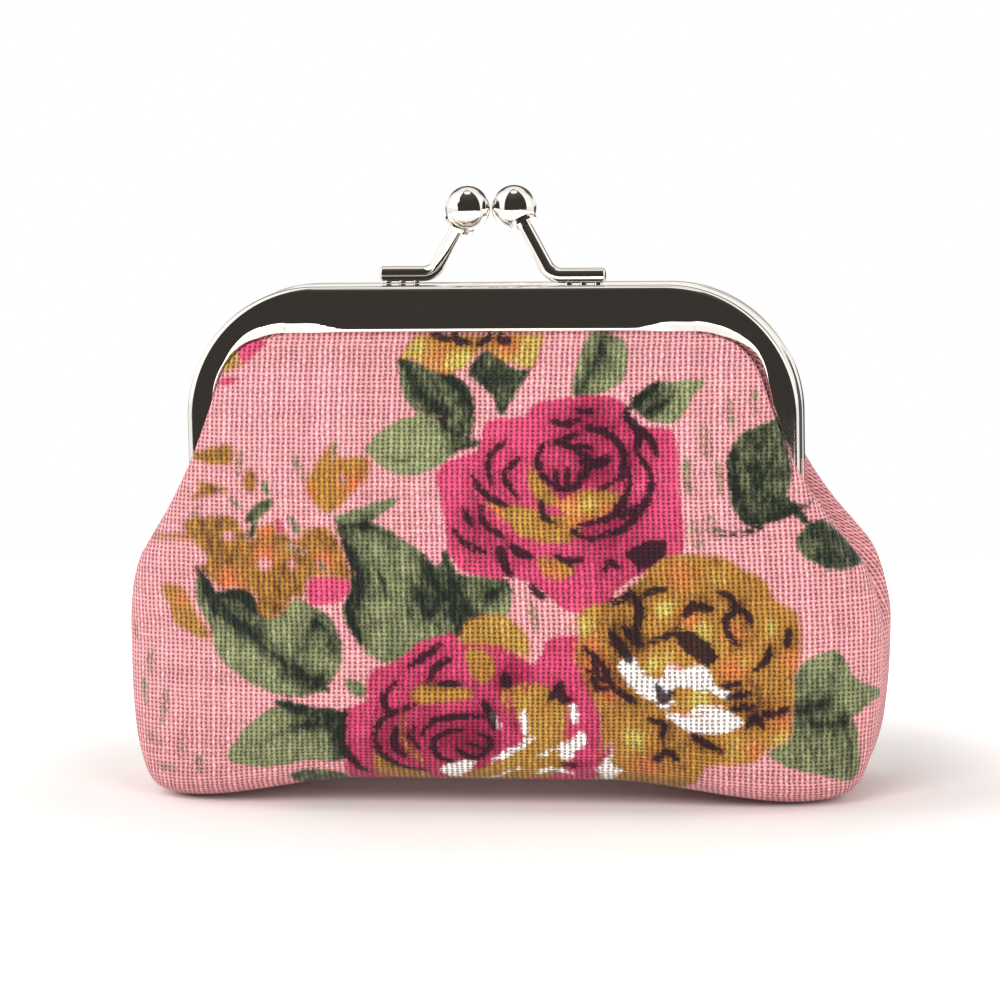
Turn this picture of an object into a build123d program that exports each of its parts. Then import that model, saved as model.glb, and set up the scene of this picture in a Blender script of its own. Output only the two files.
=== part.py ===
"""Coin purse with a kiss-lock frame. Millimetres, +Z up, front towards -Y, origin on the floor
under the middle of the purse. It stands closed; each frame half swings about the rivets."""

import math
import os

from build123d import *

os.makedirs("parts", exist_ok=True)

# Frame halves: arch-shaped channels of folded sheet, open towards the inside of the arch
frame_width = 80.6
frame_top = 66.5
bar_height = 6.0
leg_width = 3.8
channel_depth = 4.4
sheet = 0.5
corner_radius = 17.2
mouth_radius = 9.5
edge_round = 0.9
half_gap = 0.1  # from the mid plane to each closed half

# Hinge at the feet of the frame legs
hinge_height = 31.0
leg_end = 4.2  # from the hinge axis up to the end of the channel
ear_radius = 3.0
joggle = 0.6  # the back ear lies this far inside the front one
pad_height = 3.2
rivet_radius = 0.8
rivet_head_radius = 1.7
rivet_head = 0.5
running = 0.05

# Kiss-lock clasp: one bent rod and one ball on each half
foot_end = 15.2
foot_bend = 8.1
foot_depth = 2.3  # from the mid plane to the rod's foot
rod_radius = 1.0
rod_bend_radius = 2.4
weld_gap = 0.15
weld_radius = 0.55
weld_spots = (14.2, 12.3, 10.4)
ball_radius = 2.9
ball_gap = 0.16
ball_rise = 9.9  # from the top of the frame to the ball's centre
ball_cross = 0.5  # each ball stands this far past the mid plane
socket_depth = 1.9
socket_play = 0.03
collar_radius = 2.05
collar_height = 0.4
collar_sink = 0.45  # how far the ball reaches into its collar

# Cloth, from the outside of the purse inwards: where each layer starts, and its thickness
cloth_layers = {
    "panel": (0.0, 0.8),
    "interlining": (0.9, 0.4),
    "lining": (1.4, 0.4),
}
wall = 1.8
seam_gap = 0.1  # from the mid plane to each lower panel
seam_allowance = 2.6  # the interlining stops this far from the seam
section_points = 16

# Lower purse: share of the hinge height, overhang past the frame, half depth, roundness
belly_shape = [
    (0.0, 4.3, 15.6, 2.6),
    (0.084, 7.0, 17.6, 2.6),
    (0.323, 8.9, 18.5, 2.5),
    (0.645, 9.65, 18.6, 2.5),
    (1.0, 7.1, 17.3, 2.5),
]
# Upper cloth, which swings inside the lower rim: share of the way to the frame's mouth, overhang
# past the frame, half depth, roundness. Its lowest section follows the rim.
rim_step = 0.35
rim_inset = 0.45
breast_shape = [
    (0.16, 2.4, 13.7, 2.5),
    (0.368, -0.1, 9.6, 2.7),
    (0.575, -1.7, 7.3, 3.2),
    (0.782, -2.7, 5.6, 4.0),
    (1.0, -3.3, 4.1, 6.0),
]
leg_clearance = 0.5  # from the channel's front to the cloth before it
mouth_clearance = 0.4  # from the channel's mouth to the cloth
tongue_edge = 1.4  # from the outside of the frame to the cut edge of the cloth
tongue_front = 3.65  # from the mid plane to the front of the gripped cloth

# Paper cord that wedges the cloth in the channel, and the sewing thread
cord_radius = 0.5
cord_inset = 2.4
cord_depth = 1.2
cord_end = 1.5
thread_radius = 0.15
thread_skin = 1.08  # from the outside of the purse to the middle of the thread
stitch = 2.1
stitch_space = 0.5

half_width = frame_width / 2
leg_foot = hinge_height + leg_end
rim_height = hinge_height
rim_foot = rim_height + rim_step
mouth_top = frame_top - bar_height - mouth_clearance / 2
belly_sections = [
    (share * rim_height, half_width + overhang, half_depth, power)
    for share, overhang, half_depth, power in belly_shape
]
_, rim_half_width, rim_half_depth, rim_power = belly_sections[-1]
rim_inside = wall + rim_inset
breast_sections = [
    (rim_foot, rim_half_width - rim_inside, rim_half_depth - rim_inside, rim_power)
] + [
    (rim_foot + share * (mouth_top - rim_foot), half_width + overhang, half_depth, power)
    for share, overhang, half_depth, power in breast_shape
]


def finish(part, name):
    """Labels a finished piece and writes its STEP file."""
    part.label = name
    export_step(part, f"parts/{name}.step")


def both_halves(part, name):
    """Writes a front piece, and its twin for the back half: a half turn about +Z."""
    finish(part, f"front_{name}")
    finish(part.rotate(Axis.Z, 180), f"back_{name}")


# ---- outlines ----
def arch_face(inset, foot):
    """Outline of the frame's arch on XZ, inset from its outside and cut off at height foot."""
    half = half_width - inset
    top = frame_top - inset
    with BuildSketch(Plane.XZ) as face:
        with BuildLine():
            FilletPolyline(
                (-half, foot), (-half, top), (half, top), (half, foot), radius=corner_radius - inset
            )
            Line((half, foot), (-half, foot))
        make_face()
    return face.sketch


def mouth_face(inset, foot):
    """Outline of the channel's mouth on XZ, inset from its lip and cut off at height foot."""
    half = half_width - leg_width - inset
    top = frame_top - bar_height - inset
    radius = mouth_radius - inset
    with BuildSketch(Plane.XZ) as face:
        with BuildLine():
            FilletPolyline((-half, foot), (-half, top), (half, top), (half, foot), radius=radius)
            Line((half, foot), (-half, foot))
        make_face()
    return face.sketch


def slab(face, front, back):
    """Extrudes an outline on XZ from y = -back forwards to y = -front."""
    with BuildPart() as solid:
        with BuildSketch(Plane.XZ.offset(back)):
            add(face.moved(Location((0, -back, 0))))
        extrude(amount=front - back)
    return solid.part


def rail_solid(outer, inner, foot, front, back):
    """Band from an inset of the arch to an inset of the mouth."""
    return slab(arch_face(outer, foot), front, back) - slab(mouth_face(inner, foot - 1), front, back)


def outside_mouth(inset, front, back):
    """Everything beyond one inset of the mouth."""
    with BuildSketch(Plane.XZ) as sheet_face:
        with Locations((0, frame_top)):
            Rectangle(3 * frame_width, 3 * frame_top)
        add(mouth_face(inset, -frame_top), mode=Mode.SUBTRACT)
    return slab(sheet_face.sketch, front, back)


def superellipse(height, half_w, half_d, power):
    """Closed plan section of the purse at one height."""
    points = []
    for i in range(section_points):
        angle = 2 * math.pi * i / section_points
        c = math.cos(angle)
        s = math.sin(angle)
        x = half_w * math.copysign(abs(c) ** (2 / power), c)
        y = half_d * math.copysign(abs(s) ** (2 / power), s)
        points.append((x, y))
    with BuildSketch(Plane.XY.offset(height)) as section:
        with BuildLine():
            Spline(*points, periodic=True)
        make_face()
    return section.sketch


def body_of(sections, skin, floor=0):
    """Solid of the purse's shape, inset by skin, its lowest section raised by floor."""
    with BuildPart() as body:
        for i, (height, half_w, half_d, power) in enumerate(sections):
            lift = floor if i == 0 else 0
            add(superellipse(height + lift, half_w - skin, half_d - skin, power))
        loft()
    return body.part


def behind(plane_y):
    """Everything behind y = plane_y, to be cut from a front piece."""
    size = 4 * frame_width
    with BuildPart() as block:
        with Locations((0, plane_y + size / 2, 0)):
            Box(size, size, size)
    return block.part


# ---- frame ----
def on_outline(edge):
    """True for an edge that runs along the outside of the arch."""
    middle = edge @ 0.5
    x = abs(middle.X)
    straight_x = half_width - corner_radius
    straight_z = frame_top - corner_radius
    on_corner = abs(math.hypot(x - straight_x, middle.Z - straight_z) - corner_radius) < 0.01
    return abs(x - half_width) < 0.01 or abs(middle.Z - frame_top) < 0.01 or on_corner


def channel():
    """Folded channel of the front half, without its ears."""
    front = half_gap + channel_depth
    with BuildPart() as rail:
        add(rail_solid(0, 0, leg_foot, front, half_gap))
        rims = [edge for edge in rail.edges().filter_by(Plane.XZ) if on_outline(edge)]
        fillet(rims, edge_round)
        slot_front = front - sheet
        slot_back = half_gap + sheet
        slot = rail_solid(sheet, 1, leg_foot - 1, slot_front, slot_back)
        add(slot, mode=Mode.SUBTRACT)
    return rail.part


def ear(outside_x):
    """Right-hand ear: a plate hung from the leg of the front half round the hinge."""
    flat_front = half_gap + channel_depth - edge_round
    flat_back = half_gap + edge_round
    with BuildPart() as plate:
        with BuildSketch(Plane.YZ.offset(outside_x - sheet)):
            with Locations((-(flat_front + flat_back) / 2, leg_foot + sheet / 2)):
                Rectangle(flat_front - flat_back, sheet)
            with Locations((0, hinge_height)):
                Circle(ear_radius)
            make_hull()
            with Locations((0, hinge_height)):
                Circle(rivet_radius + running, mode=Mode.SUBTRACT)
        extrude(amount=sheet)
    return plate.part


def pad():
    """Upright part of the inner ear, thick enough to reach the wall of the leg."""
    flat_front = half_gap + channel_depth - edge_round
    flat_back = half_gap + edge_round
    with BuildPart() as block:
        with BuildSketch(Plane.YZ.offset(half_width - joggle - sheet)):
            with Locations((-(flat_front + flat_back) / 2, leg_foot + pad_height / 2)):
                Rectangle(flat_front - flat_back, pad_height)
        extrude(amount=joggle + sheet / 10)
    return block.part


def frame_half(inner):
    """One half of the frame, as the front half. Its ears lie inside if inner is true."""
    with BuildPart() as half:
        add(channel())
        if inner:
            right = ear(half_width - joggle) + pad()
        else:
            right = ear(half_width)
        add(right)
        add(right.mirror(Plane.YZ))
    return half.part


def rivet():
    """Right-hand rivet, headed at both ends."""
    inner_seat = half_width - joggle - sheet - running
    outer_seat = half_width + running
    with BuildPart() as pin:
        with BuildSketch(Plane.YZ.offset(inner_seat - rivet_head)):
            with Locations((0, hinge_height)):
                Circle(rivet_head_radius)
        extrude(amount=rivet_head)
        with BuildSketch(Plane.YZ.offset(outer_seat)):
            with Locations((0, hinge_height)):
                Circle(rivet_head_radius)
        extrude(amount=rivet_head)
        fillet(pin.edges().group_by(Axis.X)[0], 0.25)
        fillet(pin.edges().group_by(Axis.X)[-1], 0.25)
        with BuildSketch(Plane.YZ.offset(inner_seat - rivet_head / 2)):
            with Locations((0, hinge_height)):
                Circle(rivet_radius)
        extrude(amount=outer_seat - inner_seat + rivet_head)
    return pin.part


# ---- clasp ----
foot_z = frame_top + weld_gap + rod_radius
bend = Vector(foot_bend, -foot_depth, foot_z)
ball_centre = Vector(ball_radius + ball_gap / 2, ball_cross, frame_top + ball_rise)
lean = (ball_centre - bend).normalized()
rod_end = ball_radius - socket_depth  # from the ball's centre


def clasp_arm():
    """Bent rod of the front half, on its weld spots."""
    with BuildPart() as arm:
        with BuildLine() as path:
            FilletPolyline(
                (foot_end, -foot_depth, foot_z),
                bend,
                ball_centre - lean * rod_end,
                radius=rod_bend_radius,
            )
        with BuildSketch(path.line ^ 0):
            Circle(rod_radius)
        sweep()
        fillet(arm.faces().sort_by(Axis.X)[-1].edges(), 0.4)
        for x in weld_spots:
            with Locations((x, -foot_depth, frame_top)):
                bottom = (Align.CENTER, Align.CENTER, Align.MIN)
                Cylinder(weld_radius, weld_gap + rod_radius / 2, align=bottom)
    return arm.part


def clasp_ball():
    """Ball of the front half, with its collar, socketed on the rod."""
    across = lean.cross(Vector(0, 0, 1)).normalized()
    hole_start = rod_end - socket_play
    hole = 2 * ball_radius - hole_start
    with BuildPart() as ball:
        with BuildSketch(Plane(origin=ball_centre, x_dir=across, z_dir=across.cross(lean))):
            Circle(ball_radius)
            with Locations((0, collar_sink - ball_radius - collar_height / 2)):
                Rectangle(2 * collar_radius, collar_height)
            with Locations((0, -hole_start - hole / 2)):
                Rectangle(2 * (rod_radius + socket_play), hole, mode=Mode.SUBTRACT)
            with Locations((-2 * ball_radius, 0)):
                Rectangle(4 * ball_radius, 4 * ball_radius, mode=Mode.SUBTRACT)
        revolve(axis=Axis(ball_centre, lean))
    return ball.part


# ---- cloth ----
def lower_layer(skin, thick, gap):
    """Front half of one layer below the rim, gap from the mid plane."""
    with BuildPart() as layer:
        add(body_of(belly_sections, skin, skin))
        inside = skin + thick
        add(body_of(belly_sections, inside, inside), mode=Mode.SUBTRACT)
        add(behind(-gap), mode=Mode.SUBTRACT)
    return layer.part


def upper_layer(skin, thick):
    """One layer above the rim: it turns round the frame's leg and into the channel."""
    mouth = mouth_clearance + skin
    plate = half_gap + channel_depth + leg_clearance + skin
    front = tongue_front - skin
    back = front - thick
    outer = body_of(breast_sections, skin)
    with BuildPart() as fold:
        add(outside_mouth(mouth, plate + thick, plate))
        add(slab(mouth_face(mouth, 0), plate + thick, back))
        add(slab(mouth_face(mouth + thick, -1), plate + thick, back), mode=Mode.SUBTRACT)
        add(outer, mode=Mode.INTERSECT)
    with BuildPart() as layer:
        add(outer)
        add(body_of(breast_sections, skin + thick), mode=Mode.SUBTRACT)
        add(outside_mouth(mouth, plate, -frame_width), mode=Mode.SUBTRACT)
        add(behind(-back), mode=Mode.SUBTRACT)
        add(fold.part)
        add(rail_solid(tongue_edge, mouth + thick, leg_foot + rim_step, front, back))
    return layer.part


def paper_cord():
    """Cord behind the cloth in the front channel."""
    side = half_width - cord_inset
    top = frame_top - cord_inset
    foot = leg_foot + cord_end
    with BuildPart() as cord:
        with BuildLine(Plane.XZ.offset(cord_depth)) as path:
            FilletPolyline(
                (-side, foot), (-side, top), (side, top), (side, foot),
                radius=corner_radius - cord_inset,
            )
        with BuildSketch(path.line ^ 0):
            Circle(cord_radius)
        sweep()
    return cord.part


def side_line(skin):
    """Right-hand outline of the lower purse on XZ, inset by skin."""
    outline = section(body_of(belly_sections, skin, skin), section_by=Plane.XZ)
    return outline.edges().sort_by(Axis.X)[-1]


def stitch_row(path, name):
    """Row of stitches along one line or curve."""
    count = int(path.length // (stitch + stitch_space))
    with BuildPart() as row:
        for i in range(count):
            along = (i + 0.5) / count
            with Locations(Plane(origin=path @ along, z_dir=path % along)):
                Cylinder(thread_radius, stitch)
    finish(row.part, name)


# ---- all pieces ----
finish(frame_half(inner=False), "front_frame")
finish(frame_half(inner=True).rotate(Axis.Z, 180), "back_frame")
finish(rivet(), "right_hinge_rivet")
finish(rivet().mirror(Plane.YZ), "left_hinge_rivet")
both_halves(clasp_arm(), "clasp_arm")
both_halves(clasp_ball(), "clasp_ball")
both_halves(paper_cord(), "paper_cord")

for name, (skin, thick) in cloth_layers.items():
    gap = seam_allowance if name == "interlining" else seam_gap
    both_halves(lower_layer(skin, thick, gap), f"{name}_lower")
    both_halves(upper_layer(skin, thick), f"{name}_upper")

side_curve = side_line(thread_skin).trim(0.1, 0.95)
stitch_row(side_curve, "right_side_stitches")
stitch_row(side_curve.mirror(Plane.YZ), "left_side_stitches")
bottom_end = belly_sections[0][1] - 2 * wall
bottom_line = Line((-bottom_end, 0, thread_skin), (bottom_end, 0, thread_skin))
stitch_row(bottom_line, "bottom_stitches")
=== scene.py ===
import math

import bmesh
import bpy
import numpy as np
from mathutils import Matrix, Vector


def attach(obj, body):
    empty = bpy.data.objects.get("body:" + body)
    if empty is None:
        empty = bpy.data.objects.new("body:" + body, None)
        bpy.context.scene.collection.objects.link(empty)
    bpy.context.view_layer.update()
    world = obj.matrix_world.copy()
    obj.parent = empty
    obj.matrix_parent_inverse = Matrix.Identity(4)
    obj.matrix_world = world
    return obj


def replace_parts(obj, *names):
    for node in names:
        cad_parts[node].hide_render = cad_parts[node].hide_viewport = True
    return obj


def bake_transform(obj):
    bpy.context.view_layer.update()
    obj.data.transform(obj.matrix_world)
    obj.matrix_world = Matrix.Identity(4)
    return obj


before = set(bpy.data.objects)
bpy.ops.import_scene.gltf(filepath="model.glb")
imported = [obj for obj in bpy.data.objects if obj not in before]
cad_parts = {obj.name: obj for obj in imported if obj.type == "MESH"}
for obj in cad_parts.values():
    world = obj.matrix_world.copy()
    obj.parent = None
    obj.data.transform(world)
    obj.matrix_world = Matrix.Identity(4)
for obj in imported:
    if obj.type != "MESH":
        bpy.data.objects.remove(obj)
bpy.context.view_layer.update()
mm = 0.001


# a smooth curve through a few keys
def along(keys, at):
    pos, val = np.array(sorted(keys), float).T
    step = np.diff(pos)
    rise = np.diff(val) / step
    slope = np.concatenate(([rise[0]], np.zeros(len(rise) - 1), [rise[-1]]))
    same = rise[:-1] * rise[1:] > 0
    both = np.where(same, rise[:-1] + rise[1:], 1)
    slope[1:-1] = np.where(same, 2 * rise[:-1] * rise[1:] / both, 0)
    at = np.asarray(at, float)
    i = np.clip(np.searchsorted(pos, at) - 1, 0, len(step) - 1)
    f = np.clip((at - pos[i]) / step[i], 0, 1)
    g = 1 - f
    near = val[i] * (1 + 2 * f) + slope[i] * step[i] * f
    far = val[i + 1] * (1 + 2 * g) - slope[i + 1] * step[i] * g
    return near * g * g + far * f * f


def smooth(low, high, at):
    f = np.clip((np.asarray(at, float) - low) / (high - low), 0, 1)
    return f * f * (3 - 2 * f)


def linkMesh(bm, name, smoothFaces=True):
    data = bpy.data.meshes.new(name)
    bm.to_mesh(data)
    bm.free()
    data.polygons.foreach_set("use_smooth", [smoothFaces] * len(data.polygons))
    piece = bpy.data.objects.new(name, data)
    bpy.context.scene.collection.objects.link(piece)
    return piece


def gridMesh(rows, cols):
    # a flat grid and, for each of its vertices, its row and column
    bm = bmesh.new()
    bmesh.ops.create_grid(bm, x_segments=cols - 1, y_segments=rows - 1, size=1)
    flat = np.array([v.co for v in bm.verts])
    col = np.rint((flat[:, 0] + 1) / 2 * (cols - 1)).astype(int)
    row = np.rint((flat[:, 1] + 1) / 2 * (rows - 1)).astype(int)
    return bm, row, col


def moveTo(bm, points):
    for vert, point in zip(bm.verts, points.tolist()):
        vert.co = point


# a socket that adds up like a number
class Wire:
    def __init__(self, tree, socket):
        self.tree, self.socket = tree, socket

    def feed(self, socket, value):
        if isinstance(value, Wire):
            self.tree.links.new(value.socket, socket)
        else:
            socket.default_value = value

    def math(self, kind, *values, clamp=False):
        node = self.tree.nodes.new("ShaderNodeMath")
        node.operation, node.use_clamp = kind, clamp
        for socket, value in zip(node.inputs, values):
            self.feed(socket, value)
        return Wire(self.tree, node.outputs[0])

    def __add__(self, other):
        return self.math("ADD", self, other)

    def __sub__(self, other):
        return self.math("SUBTRACT", self, other)

    def __rsub__(self, other):
        return self.math("SUBTRACT", other, self)

    def __mul__(self, other):
        return self.math("MULTIPLY", self, other)

    def __truediv__(self, other):
        return self.math("DIVIDE", self, other)

    def __rtruediv__(self, other):
        return self.math("DIVIDE", other, self)

    def __pow__(self, other):
        return self.math("POWER", self, other)

    def __neg__(self):
        return self.math("MULTIPLY", self, -1)

    __radd__, __rmul__ = __add__, __mul__

    def most(self, other):
        return self.math("MAXIMUM", self, other)

    def ramp(self, low, high):
        node = self.tree.nodes.new("ShaderNodeMapRange")
        node.interpolation_type = "SMOOTHSTEP"
        for socket, value in zip(node.inputs, (self, low, high, 0.0, 1.0)):
            self.feed(socket, value)
        return Wire(self.tree, node.outputs[0])


class Shader(Wire):
    def __init__(self, name, kind="materials", skin="Principled BSDF"):
        self.made = getattr(bpy.data, kind).new(name)
        self.made.use_nodes = True
        super().__init__(self.made.node_tree, None)
        self.skin = self.tree.nodes[skin]

    def node(self, kind, settings=(), inputs=(), out=0):
        node = self.tree.nodes.new("ShaderNode" + kind)
        for key, value in dict(settings).items():
            setattr(node, key, value)
        for key, value in dict(inputs).items():
            self.feed(node.inputs[key], value)
        return Wire(self.tree, node.outputs[out])

    def mix(self, share, low, high, kind="MIX"):
        node = self.tree.nodes.new("ShaderNodeMix")
        node.data_type, node.blend_type = "RGBA", kind
        for socket, value in zip((node.inputs[0], node.inputs[6], node.inputs[7]), (share, low, high)):
            self.feed(socket, value)
        return Wire(self.tree, node.outputs[2])

    def split(self, vector):
        node = self.tree.nodes.new("ShaderNodeSeparateXYZ")
        self.feed(node.inputs[0], vector)
        return [Wire(self.tree, out) for out in node.outputs]

    def join(self, x, y, z):
        return self.node("CombineXYZ", {}, {0: x, 1: y, 2: z})

    def noise(self, at, scale, detail=2.0, rough=0.5):
        return self.node("TexNoise", {}, {"Vector": at, "Scale": scale, "Detail": detail,
                                          "Roughness": rough})

    def set(self, **values):
        for key, value in values.items():
            self.feed(self.skin.inputs[key.replace("_", " ")], value)


def hue(red, green, blue):
    # display colour, 0 to 255, as linear light
    parts = np.array((red, green, blue)) / 255
    linear = np.where(parts > 0.04045, ((parts + 0.055) / 1.055) ** 2.4, parts / 12.92)
    return (*linear.tolist(), 1.0)


# where the purse is seen from, which also lays the print out
eye = {
    "aim": (0.46, 0.0, 38.0),
    "distance": 600.0,
    "azimuth": 9.0,
    "elevation": 7.5,
    "span": 131.2,  # width seen at the purse
    "roll": 1.1,
}


def eyeAxes():
    az, el = math.radians(eye["azimuth"]), math.radians(eye["elevation"])
    back = np.array((math.sin(az) * math.cos(el), -math.cos(az) * math.cos(el), math.sin(el)))
    right = np.array((math.cos(az), math.sin(az), 0))
    up = np.cross(back, right)
    c, d = math.cos(math.radians(eye["roll"])), math.sin(math.radians(eye["roll"]))
    return right * c - up * d, up * c + right * d, back


def asSeen(points):
    right, up, back = eyeAxes()
    away = points - np.array(eye["aim"])
    scale = eye["distance"] / (eye["distance"] - away @ back)
    return np.stack((away @ right * scale + eye["aim"][0], away @ up * scale + eye["aim"][2]), -1)


# the sheet-metal frame, in mm
rail = {
    "halfWidth": 40.3,
    "top": 66.5,
    "radius": 17.2,
    "barHeight": 6.0,
    "legWidth": 3.8,
    "mouthRadius": 9.5,
    "foot": 35.2,
    "front": 4.5,
    "back": 0.1,
    "sheet": 0.5,
    "edge": 1.0,
    "lip": 0.42,
    "crown": 0.04,  # how far the face bulges
    "flare": 0.55,  # how far the lip turns in at the corners
    "flareWidth": 1.3,
    "flareReach": ((3.0, 5.0), (3.0, 8.0)),  # along the top and round the corner, left then right
    "flareFade": 6.5,
    "earHeight": 31.0,
    "earRadius": 3.0,
    "tab": (2.8, 5.4),  # depth and height of the strip from a leg to its ear
    "tabAt": (-1.55, 2.6),  # its middle, forward of the hinge and above it
    "tabSheet": (0.62, 0.5),  # its thickness, left and right
    "joggle": 0.6,  # a half's left ear, seen from its own side, lies this far inside the other half's
    "steps": (34, 40, 36),
}


def railPath(count):
    # matching points on the outside of the arch and on its mouth, left foot to right foot
    r = rail
    cornerX = r["halfWidth"] - r["radius"]
    cornerZ = r["top"] - r["radius"]
    mouthX = r["halfWidth"] - r["legWidth"] - r["mouthRadius"]
    mouthZ = r["top"] - r["barHeight"] - r["mouthRadius"]
    legSteps, cornerSteps, topSteps = count
    turn = np.linspace(math.pi, math.pi / 2, cornerSteps + 1)
    legOut = np.linspace(r["foot"], cornerZ, legSteps + 1)[:-1]
    legIn = np.linspace(r["foot"], mouthZ, legSteps + 1)[:-1]
    one = np.ones(legSteps)
    circle = np.stack((np.cos(turn), np.sin(turn)), 1)
    topOut = np.linspace(-cornerX, 0, topSteps + 1)[1:]
    topIn = np.linspace(-mouthX, 0, topSteps + 1)[1:]
    outside = np.concatenate((
        np.stack((-r["halfWidth"] * one, legOut), 1),
        circle * r["radius"] + (-cornerX, cornerZ),
        np.stack((topOut, topOut * 0 + r["top"]), 1),
    ))
    mouth = np.concatenate((
        np.stack(((r["legWidth"] - r["halfWidth"]) * one, legIn), 1),
        circle * r["mouthRadius"] + (-mouthX, mouthZ),
        np.stack((topIn, topIn * 0 + r["top"] - r["barHeight"]), 1),
    ))
    flip = np.array((-1, 1))
    run = np.concatenate(([0], np.hypot(*np.diff(mouth, axis=0).T).cumsum()))
    past = run - run[legSteps + cornerSteps]
    corners = []
    for inwards, down in r["flareReach"]:
        level = np.minimum((inwards + r["flareFade"] - past),
                           (down + r["flareFade"] + past)) / r["flareFade"]
        corners.append(np.clip(level, 0, 1) ** 1.2)
    return (np.concatenate((outside, outside[-2::-1] * flip)),
            np.concatenate((mouth, mouth[-2::-1] * flip)),
            np.concatenate((corners[0], corners[1][-2::-1])))


def railSection(width, corner):
    # across the channel: y against distance from the mouth, lip to back edge, then home inside
    r = rail
    bend = np.linspace(0, math.pi / 2, 8)
    lipA = r["lip"] * (1 - np.cos(bend))
    lipY = -r["front"] + r["lip"] * (1 - np.sin(bend))
    flat = np.linspace(r["lip"], width - r["edge"], 22)[1:-1]
    edgeA = width - r["edge"] + r["edge"] * np.sin(bend)
    edgeY = -r["front"] + r["edge"] * (1 - np.cos(bend))
    a = np.concatenate(([0.0], lipA, flat, edgeA, [width, width]))
    y = np.concatenate(([-r["front"] + r["lip"] + 0.25], lipY, flat * 0 - r["front"], edgeY,
                        [-(r["front"] + r["back"]) / 2, -r["back"]]))
    middle = (a - width / 2) / (width / 2)
    face = np.clip((-y - r["front"] + r["edge"]) / r["edge"], 0, 1)
    y = y - r["crown"] * (1 - middle ** 2) * face + r["crown"] * face
    reach = max(r["flareWidth"] * corner, 1e-3)
    y = np.maximum(y, -r["front"] + r["flare"] * corner * (1 - a / reach))
    inA = np.minimum(np.maximum(a, 0.12 + 0 * a), width - r["sheet"])[::-1]
    inY = np.maximum(y + r["sheet"], -r["front"] + r["sheet"])[::-1]
    inY[0] = -r["back"]
    return np.concatenate((a, inA)), np.concatenate((y, inY))


def makeRail(name, side, body):
    outside, mouth, corner = railPath(rail["steps"])
    width = np.hypot(*(outside - mouth).T)
    sections = [railSection(w, c) for w, c in zip(width, corner)]
    rows, cols = len(width), len(sections[0][0]) + 1
    bm, row, col = gridMesh(rows, cols)
    a = np.array([np.append(s[0], s[0][0]) for s in sections])
    y = np.array([np.append(s[1], s[1][0]) for s in sections])
    share = a / width[:, None]
    x = mouth[:, :1] * (1 - share) + outside[:, :1] * share
    z = mouth[:, 1:] * (1 - share) + outside[:, 1:] * share
    moveTo(bm, np.stack((x, y, z), -1)[row, col] * mm)
    bmesh.ops.remove_doubles(bm, verts=bm.verts, dist=1e-6)
    bmesh.ops.holes_fill(bm, edges=[e for e in bm.edges if e.is_boundary])
    # the hinge ears under the legs
    for way in (-1, 1):
        middle = rail["halfWidth"] - rail["sheet"] / 2 - (0 if way > 0 else rail["joggle"])
        ear = bmesh.ops.create_cone(bm, cap_ends=True, segments=40, radius1=rail["earRadius"] * mm,
                                    radius2=rail["earRadius"] * mm, depth=rail["sheet"] * mm)["verts"]
        turn = Matrix.Translation(Vector((way * middle, 0, rail["earHeight"])) * mm)
        bmesh.ops.transform(bm, matrix=turn @ Matrix.Rotation(math.pi / 2, 4, "Y"), verts=ear)
        rim = {e for v in ear for e in v.link_edges if e.calc_face_angle(0) > 1}
        bmesh.ops.bevel(bm, geom=list(rim), offset=0.12 * mm, segments=2, profile=0.5,
                        affect="EDGES", material=-1)
        tab = bmesh.ops.create_cube(bm, size=mm)["verts"]
        bmesh.ops.scale(bm, verts=tab, vec=(rail["tabSheet"][way > 0], *rail["tab"]))
        spot = Vector((way * middle, rail["tabAt"][0], rail["earHeight"] + rail["tabAt"][1]))
        bmesh.ops.translate(bm, verts=tab, vec=spot * mm)
    bmesh.ops.recalc_face_normals(bm, faces=bm.faces)
    if side == "back":
        bmesh.ops.rotate(bm, verts=bm.verts, matrix=Matrix.Rotation(math.pi, 3, "Z"))
    piece = linkMesh(bm, name)
    piece.data.materials.append(chrome)
    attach(piece, body)
    return piece


metal = {"colour": hue(243, 239, 234), "polish": 0.035, "cloud": 0.05, "scratch": 0.04, "relief": 0.00004}


def metalLook():
    s = Shader("polishedNickel")
    at = s.node("TexCoord", {}, {}, out=3)
    fine = s.noise(at, 900.0, 3.0, 0.6)
    broad = s.noise(at, 120.0, 2.0, 0.5)
    stretched = s.node("Mapping", {}, {"Vector": at, "Scale": (1.0, 1.0, 0.06)})
    scratch = s.noise(stretched, 5200.0, 1.0, 0.5).ramp(0.66, 0.72)
    s.set(Base_Color=metal["colour"], Metallic=1.0)
    s.set(Roughness=metal["polish"] + metal["cloud"] * broad.ramp(0.45, 0.75) + metal["scratch"] * scratch)
    s.set(Normal=s.node("Bump", {}, {"Strength": 0.06, "Distance": metal["relief"], "Height": fine}))
    return s.made


chrome = metalLook()
print("stage: frame")
makeRail("front_rail", "front", "front_half")
makeRail("back_rail", "back", "back_half")


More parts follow.
